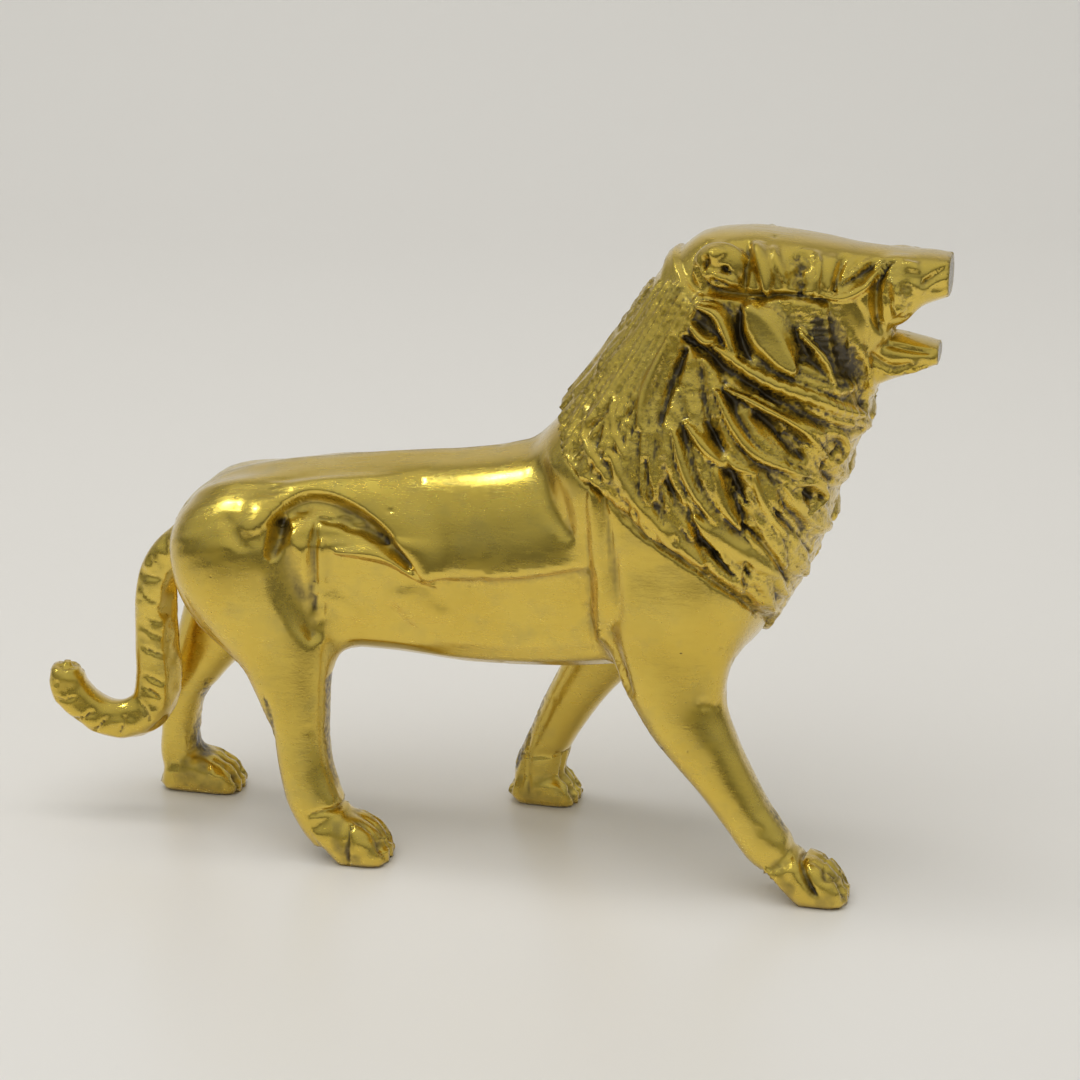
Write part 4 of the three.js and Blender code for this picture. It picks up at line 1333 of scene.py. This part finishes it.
class Nodes:
    """Short way to add and join shader nodes."""

    def __init__(self, tree):
        self.tree = tree

    def add(self, kind, settings=None, **inputs):
        node = self.tree.nodes.new(kind)
        for name, value in (settings or {}).items():
            setattr(node, name, value)
        for name, value in inputs.items():
            self.put(node, name.replace("_", " "), value)
        return node

    def put(self, node, name, value):
        socket = node.inputs[int(name)] if name.isdigit() else node.inputs[name]
        if isinstance(value, bpy.types.NodeSocket):
            self.tree.links.new(value, socket)
        else:
            socket.default_value = value


BRASS_WARM = (0.72, 0.50, 0.050)
BRASS_PALE = (0.765, 0.555, 0.075)
TARNISH = (0.46, 0.35, 0.075)
OLIVE = (0.20, 0.145, 0.03)
PATINA_AND_SHADE = (0.05, 0.033, 0.012)


def brass_material():
    material = bpy.data.materials.new("polished_brass")
    material.use_nodes = True
    tree = material.node_tree
    tree.nodes.clear()
    nodes = Nodes(tree)

    place = nodes.add("ShaderNodeTexCoord").outputs["Object"]

    def cloud(scale, detail=3.0, rough=0.55, stretch=None):
        source = place
        if stretch:
            mapping = nodes.add("ShaderNodeMapping")
            tree.links.new(place, mapping.inputs["Vector"])
            mapping.inputs["Scale"].default_value = stretch
            source = mapping.outputs["Vector"]
        node = nodes.add("ShaderNodeTexNoise", Scale=scale, Detail=detail, Roughness=rough)
        tree.links.new(source, node.inputs["Vector"])
        return node.outputs["Fac"]

    def span(value, low, high, to_low=0.0, to_high=1.0):
        node = nodes.add("ShaderNodeMapRange")
        node.clamp = True
        for name, v in (("Value", value), ("From Min", low), ("From Max", high),
                        ("To Min", to_low), ("To Max", to_high)):
            nodes.put(node, name, v)
        return node.outputs["Result"]

    def maths(operation, a, b, clamp=False):
        node = nodes.add("ShaderNodeMath", {"operation": operation, "use_clamp": clamp})
        nodes.put(node, "0", a)
        nodes.put(node, "1", b)
        return node.outputs["Value"]

    def mix_colour(factor, a, b):
        node = nodes.add("ShaderNodeMix", {"data_type": "RGBA"})
        nodes.put(node, "0", factor)
        for socket, value in (("6", a), ("7", b)):
            is_socket = isinstance(value, bpy.types.NodeSocket)
            nodes.put(node, socket, value if is_socket else (*value, 1.0))
        return node.outputs[2]

    hollow_and_painted_shade = nodes.add("ShaderNodeAttribute", {"attribute_name": "hollow_and_painted_shade"}).outputs["Fac"]
    chased_here = nodes.add("ShaderNodeAttribute", {"attribute_name": "chased"}).outputs["Fac"]

    # Colour: warm and cool patches of brass, then olive and black patina that stays in the cuts; the
    # same olive and black also paint shade on the flank and cheek hollows, the muzzle ends and the
    # leg strips.
    patches = span(cloud(60, 4), 0.35, 0.65)
    brass = mix_colour(patches, BRASS_WARM, BRASS_PALE)
    tarnish = span(cloud(240, 5), 0.52, 0.75)
    brass = mix_colour(maths("MULTIPLY", tarnish, 0.4), brass, TARNISH)
    grit = cloud(1300, 4, 0.6)
    speckle = span(grit, 0.3, 0.7, -0.42, 0.42)
    cut = maths("MULTIPLY", hollow_and_painted_shade, span(chased_here, 0.0, 1.0, 0.5, 1.0))
    depth = maths("ADD", cut, maths("MULTIPLY", speckle, maths("ADD", chased_here, 0.25)))
    depth = maths("ADD", depth, maths("MULTIPLY", chased_here, 0.26))
    darkening = span(depth, 0.2, 0.85)
    patina_and_shade = span(depth, 0.7, 1.35)
    colour = mix_colour(maths("MULTIPLY", darkening, 0.62), brass, OLIVE)
    colour = mix_colour(maths("MULTIPLY", patina_and_shade, 0.9), colour, PATINA_AND_SHADE)

    # Roughness: satin with finer rubbed spots, dull in the patina and in the painted shade.
    satin = span(cloud(130, 5), 0.3, 0.7, 0.17, 0.29)
    patchy = span(cloud(1500, 3, 0.5, (0.2, 1.0, 0.7)), 0.35, 0.7, 0.0, 0.08)
    roughness = maths("ADD", maths("ADD", satin, patchy), maths("MULTIPLY", darkening, 0.3), True)

    # Relief finer than the mesh: rubbing lines, grain of the casting, small pits, and in the
    # chased places the marks of the punch.
    grain = cloud(2600, 4, 0.6)
    rub = cloud(1900, 2, 0.5, (0.16, 1.0, 1.0))
    dimples = nodes.add("ShaderNodeTexVoronoi", Scale=420.0)
    tree.links.new(place, dimples.inputs["Vector"])
    pits = span(dimples.outputs["Distance"], 0.0, 0.13, 1.0, 0.0)
    rare = span(cloud(180, 2), 0.6, 0.68)
    pits = maths("MULTIPLY", pits, rare)
    punched = nodes.add("ShaderNodeTexVoronoi", Scale=1500.0)
    tree.links.new(place, punched.inputs["Vector"])
    punch = maths("MULTIPLY", punched.outputs["Distance"], chased_here)
    punch = maths("ADD", punch, maths("MULTIPLY", maths("MULTIPLY", grit, chased_here), 1.6))
    height = maths("ADD", maths("MULTIPLY", grain, 0.3), maths("MULTIPLY", rub, 0.22))
    height = maths("SUBTRACT", height, maths("MULTIPLY", pits, 1.2))
    height = maths("ADD", height, maths("MULTIPLY", punch, 1.2))
    bump = nodes.add("ShaderNodeBump", Strength=0.5, Distance=0.00012)
    tree.links.new(height, bump.inputs["Height"])

    shader = nodes.add("ShaderNodeBsdfPrincipled", Metallic=1.0)
    shader.inputs["Coat Weight"].default_value = 0.8
    shader.inputs["Coat Roughness"].default_value = 0.2
    shader.inputs["Coat IOR"].default_value = 1.6
    tree.links.new(colour, shader.inputs["Base Color"])
    tree.links.new(roughness, shader.inputs["Roughness"])
    tree.links.new(bump.outputs["Normal"], shader.inputs["Normal"])
    output = tree.nodes.new("ShaderNodeOutputMaterial")
    tree.links.new(shader.outputs["BSDF"], output.inputs["Surface"])
    return material


def plain_material(name, colour, roughness):
    material = bpy.data.materials.new(name)
    material.use_nodes = True
    shader = material.node_tree.nodes["Principled BSDF"]
    shader.inputs["Base Color"].default_value = (*colour, 1.0)
    shader.inputs["Roughness"].default_value = roughness
    return material


# Stage, lights and camera

# Stage sizes in metres.
FLOOR_FRONT = -0.34
FLOOR_BACK = 0.55
BEND = 0.35
BEND_STEPS = 12
WALL_HEIGHT = 1.8
STAGE_HALF_WIDTH = 2.2


def build_stage():
    """A pale floor that curves up into a pale wall behind."""
    profile = [(FLOOR_FRONT, 0.0), (FLOOR_BACK, 0.0)]
    for i in range(1, BEND_STEPS + 1):
        angle = math.pi / 2 * i / BEND_STEPS
        profile.append((FLOOR_BACK + BEND * math.sin(angle), BEND * (1 - math.cos(angle))))
    profile.append((FLOOR_BACK + BEND, WALL_HEIGHT))
    corners = [(x, y, z) for x in (-STAGE_HALF_WIDTH, STAGE_HALF_WIDTH) for y, z in profile]
    n = len(profile)
    faces = [(i, i + n, i + n + 1, i + 1) for i in range(n - 1)]
    mesh = bpy.data.meshes.new("floor")
    mesh.from_pydata(corners, [], faces)
    mesh.shade_smooth()
    floor = bpy.data.objects.new("floor", mesh)
    floor.rotation_euler[2] = math.radians(CAMERA_TURN)
    floor.location.z = -0.0001
    mesh.materials.append(plain_material("pale_floor", (0.72, 0.70, 0.675), 0.3))
    bpy.context.scene.collection.objects.link(floor)


def add_area(name, place, target, size, power, colour, seen_in_metal=True, lights_room=True,
             spread=180.0):
    light = bpy.data.lights.new(name, "AREA")
    light.spread = math.radians(spread)
    light.shape = "RECTANGLE"
    light.size, light.size_y = size
    light.energy = power
    light.color = colour
    lamp = bpy.data.objects.new(name, light)
    lamp.location = place
    lamp.rotation_euler = look(place, target)
    lamp.visible_glossy = seen_in_metal
    lamp.visible_diffuse = lights_room
    bpy.context.scene.collection.objects.link(lamp)


def look(place, target):
    return (Vector(target) - Vector(place)).to_track_quat("-Z", "Y").to_euler()


CAMERA_TURN = 12.0  # degrees towards the head from a square side view
CAMERA_HEIGHT = 16.0  # degrees above level
CAMERA_AWAY = 0.520
LENS = 104.0
TARGET = (np.array([0.0, 0.0, 53.0]) + SHIFT) * MM


def build_camera():
    turn, up = math.radians(CAMERA_TURN), math.radians(CAMERA_HEIGHT)
    back = np.array([math.sin(turn) * math.cos(up), -math.cos(turn) * math.cos(up), math.sin(up)])
    place = TARGET + CAMERA_AWAY * back
    data = bpy.data.cameras.new("camera")
    data.lens = LENS
    data.sensor_width = 36.0
    data.clip_start = 0.01
    camera = bpy.data.objects.new("camera", data)
    camera.location = place
    camera.rotation_euler = look(place, TARGET)
    bpy.context.scene.collection.objects.link(camera)
    bpy.context.scene.camera = camera


# Brightness of the room: height of the direction, from level to straight up, and colour.
WORLD_STOPS = [
    (0, (0.13, 0.128, 0.12)),
    (0.12, (0.14, 0.142, 0.13)),
    (0.3, (0.38, 0.39, 0.37)),
    (0.5, (0.47, 0.485, 0.46)),
    (0.93, (0.6, 0.61, 0.59)),
]


def build_light():
    """A plain room: pale above and behind, dim on the camera's side, with soft lamps."""
    world = bpy.data.worlds.new("studio")
    world.use_nodes = True
    tree = world.node_tree
    nodes = Nodes(tree)
    direction = nodes.add("ShaderNodeTexCoord").outputs["Generated"]
    parts = nodes.add("ShaderNodeSeparateXYZ")
    tree.links.new(direction, parts.inputs["Vector"])
    ramp = nodes.add("ShaderNodeValToRGB")
    tree.links.new(parts.outputs["Z"], ramp.inputs["Fac"])
    stops = ramp.color_ramp.elements
    stops.remove(stops[1])
    stops[0].color = (*WORLD_STOPS[0][1], 1.0)
    for height, colour in WORLD_STOPS[1:]:
        stops.new(height).color = (*colour, 1.0)
    background = tree.nodes["Background"]
    tree.links.new(ramp.outputs["Color"], background.inputs["Color"])
    background.inputs["Strength"].default_value = 1.0
    bpy.context.scene.world = world
    bpy.context.scene.view_settings.view_transform = "Standard"
    middle = tuple(TARGET)
    warm = (1.0, 0.985, 0.96)
    cool = (0.86, 0.96, 1.0)
    haunch = (-0.085, -0.012, 0.052)  # aimed past the rump, so its reflection fades on the flank
    add_area("window", (-0.488, -0.133, 0.71), haunch, (0.26, 0.26), 0.024, cool,
             lights_room=False, spread=9.0)
    add_area("fill", (-0.15, -0.35, 0.9), middle, (1.1, 1.1), 5.8, warm, seen_in_metal=False)
    add_area("wall_wash", (0.0, 0.1, 1.1), (0.0, 0.9, 0.25), (1.2, 0.3), 3.2, warm,
             seen_in_metal=False)


lion = build_lion()
lion.data.materials.append(brass_material())
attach(lion, "root")
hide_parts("lion")
build_stage()
build_light()
build_camera()
